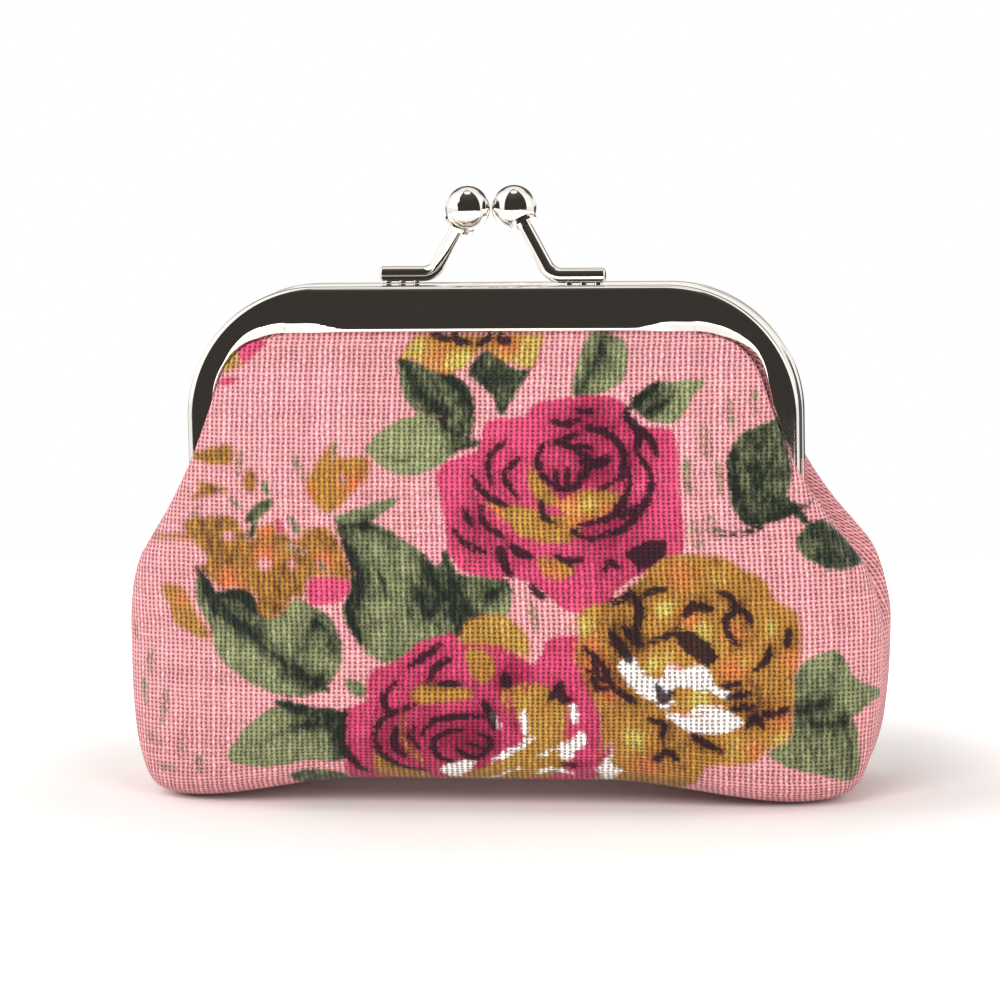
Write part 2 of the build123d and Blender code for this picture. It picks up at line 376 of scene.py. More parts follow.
# the cloth in mm: its right-hand side by height, from the table up
bag = {
    "ridge": ((0, 42.4), (0.5, 44.2), (1.5, 46.0), (4, 47.5), (9, 48.7), (16, 49.3), (22, 49.4),
              (27, 48.8), (31, 47.6), (34, 45.7), (38, 42.9), (43.5, 39.8), (48.5, 37.7), (53, 36.1),
              (56, 34.9), (58, 33.3), (59.3, 31.5), (60.2, 27.3)),
    "depth": ((0, 12.0), (0.5, 14.2), (1.5, 16.0), (4, 17.7), (10, 18.5), (18, 18.6), (25, 18.2),
              (31, 16.8), (36, 14.2), (42, 11.2), (48, 8.9), (54, 6.9), (58, 5.3), (60.2, 3.9)),
    "ridgeDepth": ((0, 5.0), (2, 6.2), (10, 6.8), (20, 6.8), (27, 7.4), (31, 7.6), (36, 7.0), (43, 6.4),
                   (50, 5.8), (56, 5.1), (60.2, 3.85)),
    "roundness": ((0, 3.3), (8, 2.7), (30, 2.45), (40, 2.5), (50, 2.9), (60.2, 3.6)),
    "edge": ((0, 42.2), (0.5, 44.0), (1.5, 45.5), (3, 46.6), (8, 48.2), (14, 48.9), (18, 48.2),
             (21.5, 46.2), (24.5, 42.6), (26.5, 39.4), (27.5, 38.2), (29, 37.2), (31, 36.7), (34, 36.3),
             (37, 36.15), (51, 36.15)),
    "edgeDepth": ((0, 0.05), (27.5, 0.05), (29, 1.1), (31, 2.4), (34, 3.4), (37, 3.6), (60.2, 3.5)),
    "lip": ((0, 0.4), (14, 0.3), (20, 1.0), (25, 1.7), (28, 2.2), (31, 1.2), (35, -0.25), (60.2, -0.2)),
    "lipDepth": ((0, 2.4), (20, 2.6), (25, 3.3), (28, 4.3), (31, 5.1), (35, 5.5), (50, 5.4), (56, 4.6),
                 (60.2, 3.8)),
    "fold": ((0, 3.2), (20, 3.9), (25, 4.4), (31, 4.9), (36, 4.7), (50, 4.55), (60.2, 4.0)),
    "lean": ((0, 0.85), (3, 1.15), (8, 1.35), (14, 1.5), (22, 1.65), (27, 1.45), (32, 1.1), (38, 0.5),
             (44, 0.12), (50, 0), (60, 0)),
    "arch": 3.3,
    "mouthX": 26.95,
    "mouthZ": 51.0,
    "mouthR": 9.2,
    "top": 60.2,
    "tuck": (0.7, 1.5, 2.3),
    "grip": 3.25,  # how deep the cloth lies in the channel
    "floorRise": 6.0,  # below this height the turned-in edge is raised too
    "thickness": 0.65,
    "spacing": 0.46,  # of the rows of points
    "floorSpacing": 0.9,
    "columns": 128,
}


def sliceAt(shape, z, samples):
    # one side of each plan section, centre to edge: x, y and length from the centre
    z = np.minimum(z, shape["top"])[:, None]
    ridge, depth = along(shape["ridge"], z), along(shape["depth"], z)
    ridgeY, power = along(shape["ridgeDepth"], z), along(shape["roundness"], z)
    rise = np.clip(z - shape["mouthZ"], 0, shape["mouthR"])
    arc = shape["mouthX"] + np.sqrt(shape["mouthR"] ** 2 - rise ** 2)
    edge = np.where(z > shape["mouthZ"], arc, along(shape["edge"], z))
    ridge = np.maximum(ridge, np.where(z > shape["mouthZ"], edge + 0.05, 0))
    edgeY = along(shape["edgeDepth"], z)
    ridgeY = np.minimum(ridgeY, depth - 0.05)
    lipX, lipY = edge + along(shape["lip"], z), np.minimum(along(shape["lipDepth"], z), ridgeY)
    foldY = np.minimum(along(shape["fold"], z), ridgeY)
    turn = np.linspace(0, math.pi / 2, samples)[None, 1:]
    x1 = ridge * np.sin(turn) ** (2 / power)
    y1 = ridgeY + (depth - ridgeY) * np.cos(turn).clip(0) ** (2 / power)
    t = np.linspace(0, 1, samples // 2)[None, 1:]
    g = 1 - t
    x2 = ridge * g ** 3 + 3 * ridge * g * g * t + 3 * lipX * g * t * t + edge * t ** 3
    y2 = ridgeY * g ** 3 + 3 * foldY * g * g * t + 3 * lipY * g * t * t + edgeY * t ** 3
    x = np.concatenate((0 * z, x1, x2), 1)
    y = -np.concatenate((depth, y1, y2), 1)
    length = np.concatenate((0 * z, np.hypot(np.diff(x), np.diff(y)).cumsum(1)), 1)
    return x, y, length


def panelPoints(shape, spacing, floorSpacing, columns):
    # the right-hand side as rows of points, from the channel down the wall and along the floor
    heights = np.linspace(shape["top"], 0, int(shape["top"] / spacing) + 1)
    x, y, length = sliceAt(shape, heights, 260)
    share = np.linspace(0, 1, columns + 1)
    want = share[None] * length[:, -1:]
    gridX = np.array([np.interp(w, l, p) for w, l, p in zip(want, length, x)])
    gridY = np.array([np.interp(w, l, p) for w, l, p in zip(want, length, y)])
    centre = along(shape["depth"], heights)
    down = np.concatenate(([0], np.hypot(np.diff(heights), np.diff(centre)).cumsum()))
    gridV = np.repeat((down[-1] - down)[:, None], columns + 1, 1)
    gridZ = np.repeat(heights[:, None], columns + 1, 1)
    gridU = want
    steps = int(centre[-1] / floorSpacing)
    part = np.linspace(0, 1, steps + 1)[1:, None]
    gridX = np.concatenate((gridX, np.repeat(gridX[-1:], steps, 0)))
    gridY = np.concatenate((gridY, gridY[-1:] * (1 - part) - 0.05 * part))
    gridU = np.concatenate((gridU, np.repeat(gridU[-1:], steps, 0)))
    gridV = np.concatenate((gridV, -centre[-1] * part + 0 * gridX[:steps]))
    gridZ = np.concatenate((gridZ, 0 * gridX[:steps]))
    # cloth gripped in the channel, or turned in at the seam
    over = np.clip(gridZ[:, -1] - shape["mouthZ"], 0, shape["mouthR"]) / shape["mouthR"]
    turnIn = math.pi * (1 - smooth(28, 35.5, gridZ[:, -1]))
    nx, ny = np.sqrt(1 - over ** 2) * np.cos(turnIn), np.sin(turnIn)
    depth = np.array(shape["tuck"])[None]
    gridX = np.concatenate((gridX, gridX[:, -1:] + depth * nx[:, None]), 1)
    gridY = np.concatenate((gridY, gridY[:, -1:] + depth * ny[:, None] * 0.8), 1)
    lowRows = 1 - smooth(0, shape["floorRise"], gridZ[:, -1:])
    gridZ = np.concatenate((gridZ, gridZ[:, -1:] + depth * over[:, None] + depth * lowRows), 1)
    held = gridZ[:, -len(shape["tuck"]):] > shape["mouthZ"] - shape["mouthR"]
    tucked = gridY[:, -len(shape["tuck"]):]
    gridY[:, -len(shape["tuck"]):] = np.where(held, np.maximum(tucked, -shape["grip"]), tucked)
    gridU = np.concatenate((gridU, gridU[:, -1:] + depth), 1)
    gridV = np.concatenate((gridV, gridV[:, -1:] + 0 * depth), 1)
    top = np.array(shape["tuck"])[::-1, None]
    gridX = np.concatenate((gridX[:1] + 0 * top, gridX))
    gridY = np.concatenate((np.maximum(gridY[:1] + 0 * top, -shape["grip"]), gridY))
    gridU = np.concatenate((gridU[:1] + 0 * top, gridU))
    gridZ = np.concatenate((shape["top"] + top + 0 * gridZ[:1], gridZ))
    gridV = np.concatenate((down[-1] + top + 0 * gridV[:1], gridV))
    return gridX, gridY, gridZ, gridU, gridV


def wholePanel(shape, spacing, floorSpacing, columns, way=1):
    signs = (-1, 1, 1, -1, 1)  # x and u change sign on the other side
    half = panelPoints(shape, spacing, floorSpacing, columns)
    gridX, gridY, gridZ, gridU, gridV = [np.concatenate((sign * grid[:, :0:-1], grid), 1)
                                         for sign, grid in zip(signs, half)]
    free = np.maximum(smooth(1.0, 6.5, -gridY), 1 - smooth(23, 28, gridZ))
    gridX = gridX + way * along(shape["lean"], gridZ) * free
    lift = shape["arch"] * np.clip(1 - gridZ / 15, 0, 1) ** 1.6 * (1 - smooth(15, 42, np.abs(gridX)))
    gridZ = gridZ + lift
    return np.stack((gridX, gridY, gridZ), -1), np.stack((gridU, gridV), -1)


def outward(points):
    # unit normals of a grid of points
    across = np.gradient(points, axis=1)
    down = np.gradient(points, axis=0)
    n = np.cross(down, across)
    return n / np.maximum(np.linalg.norm(n, axis=-1, keepdims=True), 1e-9)


print("stage: cloth shape")
front, flat = wholePanel(bag, bag["spacing"], bag["floorSpacing"], bag["columns"])
rear, _ = wholePanel(bag, bag["spacing"], bag["floorSpacing"], bag["columns"], -1)


def makePanel(name, side, points, uv, inks, thickness, look):
    rows, cols = points.shape[:2]
    bm, row, col = gridMesh(rows, cols)
    moveTo(bm, points[row, col] * mm)
    bm.verts.index_update()
    corner = len(bag["tuck"])
    cut = []
    for face in bm.faces:
        i = [row[v.index] for v in face.verts]
        j = [col[v.index] for v in face.verts]
        if max(i) <= corner and (max(j) <= corner or min(j) >= cols - 1 - corner):
            cut.append(face)
    uvLayer = bm.loops.layers.uv.new("cloth")
    spread = uv[row, col] / 100
    for face in bm.faces:
        for loop in face.loops:
            loop[uvLayer].uv = spread[loop.vert.index]
    layers = {key: bm.verts.layers.float_color.new(key) for key in inks}
    for key, layer in layers.items():
        values = inks[key][row, col].tolist()
        for vert, value in zip(bm.verts, values):
            vert[layer] = value
    bmesh.ops.delete(bm, geom=cut, context="FACES")
    bmesh.ops.remove_doubles(bm, verts=bm.verts, dist=2e-6)
    bmesh.ops.recalc_face_normals(bm, faces=bm.faces)
    outside = sum(f.normal.y * f.calc_area() for f in bm.faces)
    if outside > 0:
        bmesh.ops.reverse_faces(bm, faces=bm.faces)
    bm.normal_update()
    gripped = (bag["top"] - 0.3) * mm  # flat in the channel up here
    inward = [Vector((0, -1, 0)) if vert.co.z > gripped else vert.normal.copy() for vert in bm.verts]
    skin = bmesh.ops.extrude_face_region(bm, geom=bm.faces[:] + bm.edges[:] + bm.verts[:])["geom"]
    for vert, way in zip([g for g in skin if isinstance(g, bmesh.types.BMVert)], inward):
        vert.co -= way * thickness * mm
    bmesh.ops.recalc_face_normals(bm, faces=bm.faces)
    if side == "back":
        bmesh.ops.rotate(bm, verts=bm.verts, matrix=Matrix.Rotation(math.pi, 3, "Z"))
    piece = linkMesh(bm, name)
    piece.data.materials.append(look)
    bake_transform(piece)
    return piece


# threads in mm, the dyes from dark to light, and the painted shade in the holes between threads
weave = {
    "warp": 0.70,
    "weft": 0.57,
    "pink": (hue(231, 152, 157), hue(240, 166, 170)),
    "sage": (hue(22, 32, 24), hue(146, 152, 108)),
    "rose": (hue(140, 22, 60), hue(234, 84, 126)),
    "ochre": (hue(92, 54, 26), hue(178, 126, 54), hue(208, 196, 100)),
    "orange": hue(226, 118, 74),
    "white": hue(250, 243, 238),
    "plum": hue(36, 8, 26),
    "pine": hue(22, 26, 14),
    # painted shade for the holes between threads
    "gapShade": hue(70, 18, 22),
    "roughness": 0.82,
    "sheen": 0.12,
    "specular": 0.25,
    "relief": 0.00022,
}


def clothLook():
    s = Shader("printedLinen")
    uv = s.node("UVMap", {"uv_map": "cloth"}, {})
    u, v, _ = s.split(uv)
    u, v = u * 100.0, v * 100.0
    at = s.join(u, v, 0.0)
    drift = s.noise(at, 0.35, 2.0) - 0.5
    wobbleU = s.noise(s.join(u * 0.2, v * 0.9, 3.0), 1.2, 2.0) - 0.5
    wobbleV = s.noise(s.join(u * 0.9, v * 0.2, 7.0), 1.2, 2.0) - 0.5
    tu = (u + wobbleU * 0.28 + drift * 0.3) / weave["warp"]
    tv = (v + wobbleV * 0.24 + drift * 0.3) / weave["weft"]
    warpId, weftId = s.math("FLOOR", tu), s.math("FLOOR", tv)
    inU, inV = tu - warpId - 0.5, tv - weftId - 0.5
    odd = s.math("PINGPONG", warpId + weftId, 1.0)
    warpTone = s.node("TexWhiteNoise", {"noise_dimensions": "1D"}, {"W": warpId})
    weftTone = s.node("TexWhiteNoise", {"noise_dimensions": "1D"}, {"W": weftId + 0.5})
    slub = s.noise(s.join(warpId * 7.3, v * 0.32, 0.0), 1.0, 1.0)
    slubV = s.noise(s.join(u * 0.28, weftId * 5.1, 9.0), 1.0, 1.0)
    warpWide = 0.285 + 0.26 * (slub - 0.5) + 0.05 * warpTone
    weftWide = 0.25 + 0.26 * (slubV - 0.5) + 0.05 * weftTone
    # each thread is a round ridge that dips where it goes under
    warpRound = 1.0 - (s.math("ABSOLUTE", inU) / warpWide) ** 2.0
    weftRound = 1.0 - (s.math("ABSOLUTE", inV) / weftWide) ** 2.0
    wave = s.math("COSINE", inV * math.pi)
    waveU = s.math("COSINE", inU * math.pi)
    sign = odd * 2.0 - 1.0
    warpHigh = warpRound * 0.9 + sign * wave * 0.42
    weftHigh = weftRound * 0.5 - sign * waveU * 0.42
    onWarp = warpRound.ramp(0.0, 0.12)
    onWeft = weftRound.ramp(0.0, 0.12)
    warpHigh = warpHigh * onWarp + (onWarp - 1.0) * 1.2
    weftHigh = weftHigh * onWeft + (onWeft - 1.0) * 1.2
    high = warpHigh.most(weftHigh)
    hole = 1.0 - onWarp.most(onWeft)
    isWarp = (warpHigh - weftHigh).ramp(-0.08, 0.08)
    threadTone = s.node("Mix", {"data_type": "FLOAT"}, {0: isWarp, 2: weftTone, 3: warpTone})
    fuzz = s.noise(at, 9.0, 3.0, 0.65)
    spot = s.join(warpId, weftId, isWarp * 3.0)
    crossing = s.node("TexWhiteNoise", {"noise_dimensions": "3D"}, {"Vector": spot})
    gapSpot = s.join(s.math("FLOOR", tu + 0.5), s.math("FLOOR", tv + 0.5), 0.0)
    gap = s.node("TexWhiteNoise", {"noise_dimensions": "2D"}, {"Vector": gapSpot})
    patch = s.noise(at, 0.12, 3.0, 0.6)
    bite = (threadTone - 0.5) * 0.5 + (crossing - 0.5) * 0.4 + (fuzz - 0.5) * 0.9
    inkA = s.node("Attribute", {"attribute_name": "inkA"}, {})
    inkB = s.node("Attribute", {"attribute_name": "inkB"}, {})
    leaf, rose, ochre = s.split(inkA)
    stroke, leafTone, roseTone = s.split(inkB)
    inkC = s.node("Attribute", {"attribute_name": "inkC"}, {})
    white, ochreTone, fade = s.split(inkC)
    grain = s.noise(s.join(u * 1.0, v * 0.35, 1.0), 1.3, 3.0, 0.6)
    pink = s.mix(patch, *weave["pink"])
    brush = s.noise(s.join(u, v * 0.45, 5.0), 0.9, 3.0, 0.7)
    sageTone = leafTone + (grain - 0.5) * 0.7 + (brush - 0.5) * 1.3
    sage = s.mix(sageTone.ramp(-0.05, 0.95), *weave["sage"])
    red = s.mix((roseTone + (grain - 0.5) * 0.5).ramp(0.1, 0.9), *weave["rose"])
    goldTone = ochreTone + (grain - 0.5) * 0.8 + (brush - 0.5) * 0.7
    gold = s.mix(goldTone.ramp(0.0, 0.5), *weave["ochre"][:2])
    gold = s.mix((ochreTone + (grain - 0.5) * 0.5).ramp(0.5, 0.95), gold, weave["ochre"][2])
    gold = s.mix(fade * 0.8, gold, weave["orange"])
    cover = lambda field, soft=0.25: (field + bite * 0.75).ramp(-soft, soft)
    colour = s.mix(cover(leaf, 0.3), pink, sage)
    colour = s.mix(cover(rose, 0.3), colour, red)
    colour = s.mix(cover(ochre, 0.55), colour, gold)
    colour = s.mix(cover(white, 0.35), colour, weave["white"])
    strokeShade = s.mix(leaf.ramp(-0.4, 0.4), weave["plum"], weave["pine"])
    colour = s.mix(cover(stroke + 0.1, 0.2) * 0.95, colour, strokeShade)
    # thread brightness, painted shadow between threads and in the holes, and painted shine on their backs
    bright = 0.745 + 0.26 * threadTone + 0.18 * crossing + 0.4 * (fuzz - 0.5)
    depth = high.ramp(-0.35, 1.25)
    shade = bright * (0.34 + 0.78 * depth)
    dark = s.mix(1.0, colour, s.join(shade, shade, shade), "MULTIPLY")
    # painted shade: each hole between threads is darkened towards a deep red
    holeShade = s.mix(0.85, colour, weave["gapShade"], "MULTIPLY")
    colour = s.mix(hole * (0.3 + 0.65 * gap), dark, holeShade)
    s.set(Base_Color=colour, Roughness=weave["roughness"])
    s.set(Normal=s.node("Bump", {}, {"Strength": 0.75, "Distance": weave["relief"],
                                     "Height": high + fuzz * 0.25}))
    s.set(Specular_IOR_Level=weave["specular"], Sheen_Weight=weave["sheen"])
    return s.made


linen = clothLook()


# inks are signed distances in mm on the flat cloth, positive inside
order = ("leaf", "rose", "ochre", "white", "stroke")


def newInk(uv, spot):
    blank = lambda value: np.full(uv.shape[:2], value)
    ink = {kind: blank(-9.0) for kind in order}
    return {"uv": uv, "spot": spot, "leafTone": blank(0.6), "roseTone": blank(0.5),
            "ochreTone": blank(0.35), "fade": blank(0.0), **ink}


def lay(ink, kind, field, tone=None):
    # paint over what is there; whatever prints later is wiped first
    for above in order[order.index(kind) + 1:]:
        ink[above] = np.minimum(ink[above], -field)
    ink[kind] = np.maximum(ink[kind], field)
    if tone is not None:
        share = smooth(-0.3, 0.5, field)
        ink[kind + "Tone"] = ink[kind + "Tone"] * (1 - share) + tone * share


def curve(points, steps=7, closed=False):
    points = np.array(points, float)
    if closed:
        padded = np.concatenate((points[-1:], points, points[:2]))
    else:
        padded = np.concatenate((2 * points[:1] - points[1:2], points, 2 * points[-1:] - points[-2:-1]))
    t = np.linspace(0, 1, steps, endpoint=False)[:, None]
    out = []
    for p, q, r, s in zip(padded, padded[1:], padded[2:], padded[3:]):
        square = 2 * p - 5 * q + 4 * r - s
        cube = 3 * q - p - 3 * r + s
        out.append(0.5 * (2 * q + (r - p) * t + square * t * t + cube * t ** 3))
    return np.concatenate(out + [padded[-2:-1]])


def distance(here, path, width):
    best = np.full(len(here), -9.0)
    for p, q, w, x in zip(path[:-1], path[1:], width[:-1], width[1:]):
        line = q - p
        f = np.clip(((here - p) @ line) / max(line @ line, 1e-9), 0, 1)
        best = np.maximum(best, w * (1 - f) + x * f - np.linalg.norm(here - p - f[:, None] * line, axis=1))
    return best


def area(ink, kind, points, tone=None):
    path = curve([ink["spot"](*p) for p in points], 5, True)
    uv = ink["uv"]
    near = ((uv > path.min(0) - 2) & (uv < path.max(0) + 2)).all(-1)
    here = uv[near]
    inside = np.zeros(len(here), bool)
    for p, q in zip(path[:-1], path[1:]):
        cross = (p[1] > here[:, 1]) != (q[1] > here[:, 1])
        rise = q[1] - p[1] if abs(q[1] - p[1]) > 1e-9 else 1e-9
        inside ^= cross & (here[:, 0] < p[0] + (here[:, 1] - p[1]) * (q[0] - p[0]) / rise)
    far = -distance(here, path, np.zeros(len(path)))
    field = np.full(uv.shape[:2], -9.0)
    field[near] = np.where(inside, far, -far)
    lay(ink, kind, field, tone)


def line(ink, kind, half, points, tone=None, taper=0.45):
    path = curve([ink["spot"](*p) for p in points])
    t = np.linspace(0.04, 0.96, len(path))
    uv = ink["uv"]
    near = ((uv > path.min(0) - 2.5) & (uv < path.max(0) + 2.5)).all(-1)
    field = np.full(uv.shape[:2], -9.0)
    field[near] = distance(uv[near], path, half * np.sin(math.pi * t) ** taper)
    lay(ink, kind, field, tone)
    if half > 0.3 and (kind == "stroke" or tone == 0):
        # colour gathers beside a dark stroke
        beside = np.exp(-((np.maximum(-field, 0) / 1.25) ** 2))
        for key, share in (("leafTone", 0.5), ("roseTone", 0.2), ("ochreTone", 0.4)):
            ink[key] = ink[key] * (1 - share * beside)


def tint(ink, key, centre, radius, value):
    # a soft change of tone
    away = np.linalg.norm(ink["uv"] - ink["spot"](*centre), axis=-1)
    share = np.exp(-((away / radius) ** 2))
    ink[key] = ink[key] * (1 - share) + value * share


def leaves(ink):
    blade = lambda tone, *points: area(ink, "leaf", points, tone)
    vein = lambda half, *points: line(ink, "leaf", half, points, 0.0)
    grass = lambda half, *points: line(ink, "leaf", half, points, 0.5, 0.7)
    # faded grasses
    for half, start, end in ((0.45, (-47.5, 22.5), (-47.2, 19.8)), (0.8, (-45.6, 18.5), (-45.1, 15)),
                             (0.5, (-46.3, 14.8), (-45.9, 11)), (0.5, (-43.3, 13.4), (-43.8, 8.6)),
                             (0.8, (-41.1, 7.9), (-41.5, 4.4)), (0.6, (-46, 7.5), (-43.9, 6)),
                             (0.6, (-44.6, 3.6), (-41.5, 2.4)), (0.6, (-39.5, 4.6), (-38.2, 2)),
                             (0.6, (30.2, 51.6), (31, 47)), (0.55, (33.8, 52.8), (34, 49)),
                             (0.8, (27, 48.2), (27.7, 43.4)), (0.8, (24.8, 43.4), (25.4, 38.6)),
                             (0.9, (27.6, 36), (28.8, 32.8)), (0.9, (25.7, 35.2), (26.8, 31.2)),
                             (0.5, (29, 43), (29.6, 38.5)), (0.6, (4.5, 25), (5.2, 20.6)),
                             (0.5, (-33.6, 44.6), (-34, 41)), (0.6, (-26.6, 43.9), (-25, 40)),
                             (0.7, (-38.6, 37.4), (-40.2, 35.4)), (0.5, (-34.9, 38.4), (-33.6, 36.6))):
        grass(half, start, end)
    ink["leaf"] = np.minimum(ink["leaf"], 0.0)  # faint, so the threads break them up
    # upper middle
    blade(0.75, (12.3, 59.9), (15.5, 59.9), (17.3, 57.7), (16.6, 53.8), (13.6, 51.9), (10.2, 51.4),
          (10.3, 54.6))
    vein(0.35, (14.6, 59.6), (13, 56), (11, 52))
    blade(0.8, (18.2, 51), (21.1, 53.2), (23.4, 53.6), (27.4, 53.7), (25.7, 51.3), (23.7, 48.3),
          (20.4, 48.2), (18.2, 49.6))
    vein(0.75, (21.3, 53.3), (18.8, 51.4), (17.6, 49.8))
    vein(0.35, (23.2, 51.6), (21, 50.3), (19.6, 49.5))
    blade(0.15, (-3.9, 54.8), (-1.1, 57.8), (2.9, 55.2), (5.2, 56.2), (3, 52.6), (0.6, 48.9),
          (-0.6, 51.5), (-2.6, 53.2))
    blade(0.45, (-13, 56.6), (-10.2, 56.1), (-6.8, 54.6), (-3.9, 53.2), (-2.8, 50.9), (-2.8, 48.4),
          (-3.4, 46.4), (-5.9, 47), (-7.6, 48.9), (-10.5, 49.5), (-12.2, 51.8), (-12.8, 54.3))
    vein(0.85, (-6.8, 54.8), (-4.5, 52.4), (-3.1, 49.4))
    vein(0.5, (-12.5, 56.7), (-10.8, 53.8), (-8.2, 49.8))
    vein(0.25, (-9.4, 55.4), (-7.6, 52), (-6.4, 49.6))
    blade(0.85, (-17.3, 45), (-14.2, 47.8), (-10.8, 49.1), (-7.6, 49.2), (-4.8, 47.2), (-2, 45.5),
          (-4.2, 45), (-6.5, 43.3), (-9.9, 41.4), (-13.6, 41.4), (-16.2, 43.3))
    vein(0.5, (-8.4, 49.8), (-5.7, 47), (-2, 45.4))
    vein(0.25, (-14.6, 43.6), (-12.2, 43.3), (-9.7, 44.3))
    vein(0.4, (-5.5, 44.6), (-3.6, 45.1), (-1.9, 45.5))
    # left
    blade(0.6, (-21.4, 35.6), (-17.4, 37.2), (-12.9, 38.5), (-14, 36.8), (-16, 35.4), (-19, 34))
    blade(0.68, (-38.9, 29.5), (-37.9, 26.3), (-34.8, 26.3), (-31.6, 25), (-30.9, 23.1), (-28.4, 23.1),
          (-26.5, 25), (-24.6, 24.4), (-21.7, 22.5), (-20.4, 19.9), (-20.4, 16.7), (-22.3, 13.4),
          (-25.2, 12.2), (-28.4, 12.5), (-32.2, 13.9), (-34.4, 15.5), (-36.7, 18), (-37.3, 20.6),
          (-39.2, 24.4), (-39.5, 26.9))
    vein(1.05, (-39, 29), (-37.8, 26), (-35.6, 23), (-32, 20.4))
    vein(1.0, (-35.6, 25.6), (-33, 25.4), (-31, 22.8))
    vein(0.4, (-32.4, 20.8), (-28.4, 17.1), (-22.3, 13.4))
    vein(0.4, (-25.4, 19), (-23.9, 21.9), (-22.4, 20.8), (-21.6, 18.2))
    vein(0.55, (-27, 15.2), (-24, 14.4), (-22, 13))
    blade(0.6, (-20, 14.6), (-17.5, 14), (-16.6, 12.6), (-18.8, 12.4))
    blade(0.62, (-20.1, 32), (-20.8, 34.5), (-18.2, 35.4), (-15, 34.6), (-11.2, 32.1), (-9.3, 30.7),
          (-7.7, 29.5), (-6.4, 31.6), (-4.9, 28.4), (-1, 28.2), (1.6, 27.4), (2.4, 25), (0.6, 22.2),
          (-3, 21), (-6, 19.5), (-10.3, 18.2), (-12.4, 16.6), (-15, 16.7), (-17.8, 18.5), (-18.8, 21.2),
          (-19.8, 25), (-18.4, 28))
    vein(0.95, (-20, 32.4), (-18.6, 29.5), (-18.4, 26.3), (-19.2, 22.8), (-18, 19.6))
    vein(0.5, (-20.4, 34.6), (-17, 34.4), (-13.6, 33))
    vein(1.0, (-9.9, 30.9), (-9, 28.2), (-7.8, 24.6), (-8.8, 22.8))
    vein(0.5, (-10.4, 26.6), (-10.1, 24.8), (-9.4, 23.2))
    vein(0.65, (-7, 31), (-5.9, 26.3), (-5.2, 19.6))
    vein(0.45, (-4.8, 28), (-4, 24.6), (-3.4, 21.6))
    vein(0.6, (1.4, 27.3), (0.2, 26.2), (-1.4, 25))
    vein(0.3, (-16.4, 30), (-14.8, 27), (-14.4, 24.6))
    blade(0.72, (-35.2, 4), (-33.8, 7.2), (-30.9, 9.7), (-28.4, 11), (-24.6, 10.8), (-20.1, 10.3),
          (-19.4, 7.2), (-19.8, 3.9), (-24.6, 3.8), (-28.4, 3.1), (-31.6, 3))
    vein(0.95, (-28.8, 11.4), (-24.6, 10.2), (-19.8, 9.5))
    vein(0.6, (-21.6, 9.6), (-20.3, 7), (-20.6, 4.2))
    vein(0.38, (-26.8, 8.2), (-24, 8.5), (-21.2, 8.4))
    vein(0.16, (-31.4, 5.8), (-29, 7.2), (-26.2, 7.8))
    blade(0.35, (-27, 1.8), (-24.6, 2.8), (-20, 2.2), (-19, 0.8), (-24, 0.6))
    # right
    blade(0.24, (35.8, 48.9), (37.1, 47.4), (38.7, 43.8), (39, 41.5), (37.7, 38.5), (36.4, 36.6),
          (34.5, 34.6), (32.5, 34.6), (30.9, 37.2), (30.2, 40.5), (30.2, 43.1), (31.5, 46.1),
          (33.8, 47.7))
    vein(0.3, (35.6, 47), (34.6, 41), (33.6, 35.6))
    vein(0.5, (31.2, 44), (31.2, 40), (32.6, 36.4))
    vein(0.48, (29, 33.4), (32.5, 33.6), (34.8, 34.8), (37.1, 36.3), (39.7, 36.4), (41.4, 38.4))
    vein(0.5, (39.4, 36.6), (40.4, 35.4), (41.6, 34.4))
    blade(0.2, (42, 35.5), (44.3, 34.6), (48.5, 30.9), (47.5, 29.4), (44.3, 28.7), (41.7, 29.6),
          (39.6, 31.4), (39.3, 33.2))
    blade(0.58, (38.7, 9), (46.4, 9.6), (47.6, 5.7), (47.6, 3), (46.4, 1.2), (42.3, 1.8), (37.6, 3.2),
          (35.5, 4.9), (38.4, 6.8))
    blade(0.6, (39.4, 15.7), (44.2, 18.3), (45.4, 17.6), (47.3, 14.6), (50.9, 12.9), (49.2, 11.6),
          (46.4, 9.3), (42.8, 8.4), (38.8, 9))
    vein(0.6, (38.6, 9.4), (41, 10.6), (43.2, 11.7))
    vein(0.35, (46.6, 9), (44.4, 8.6), (41, 8.7))
    vein(0.3, (45.8, 2), (46.6, 4.4), (46.2, 7.2))


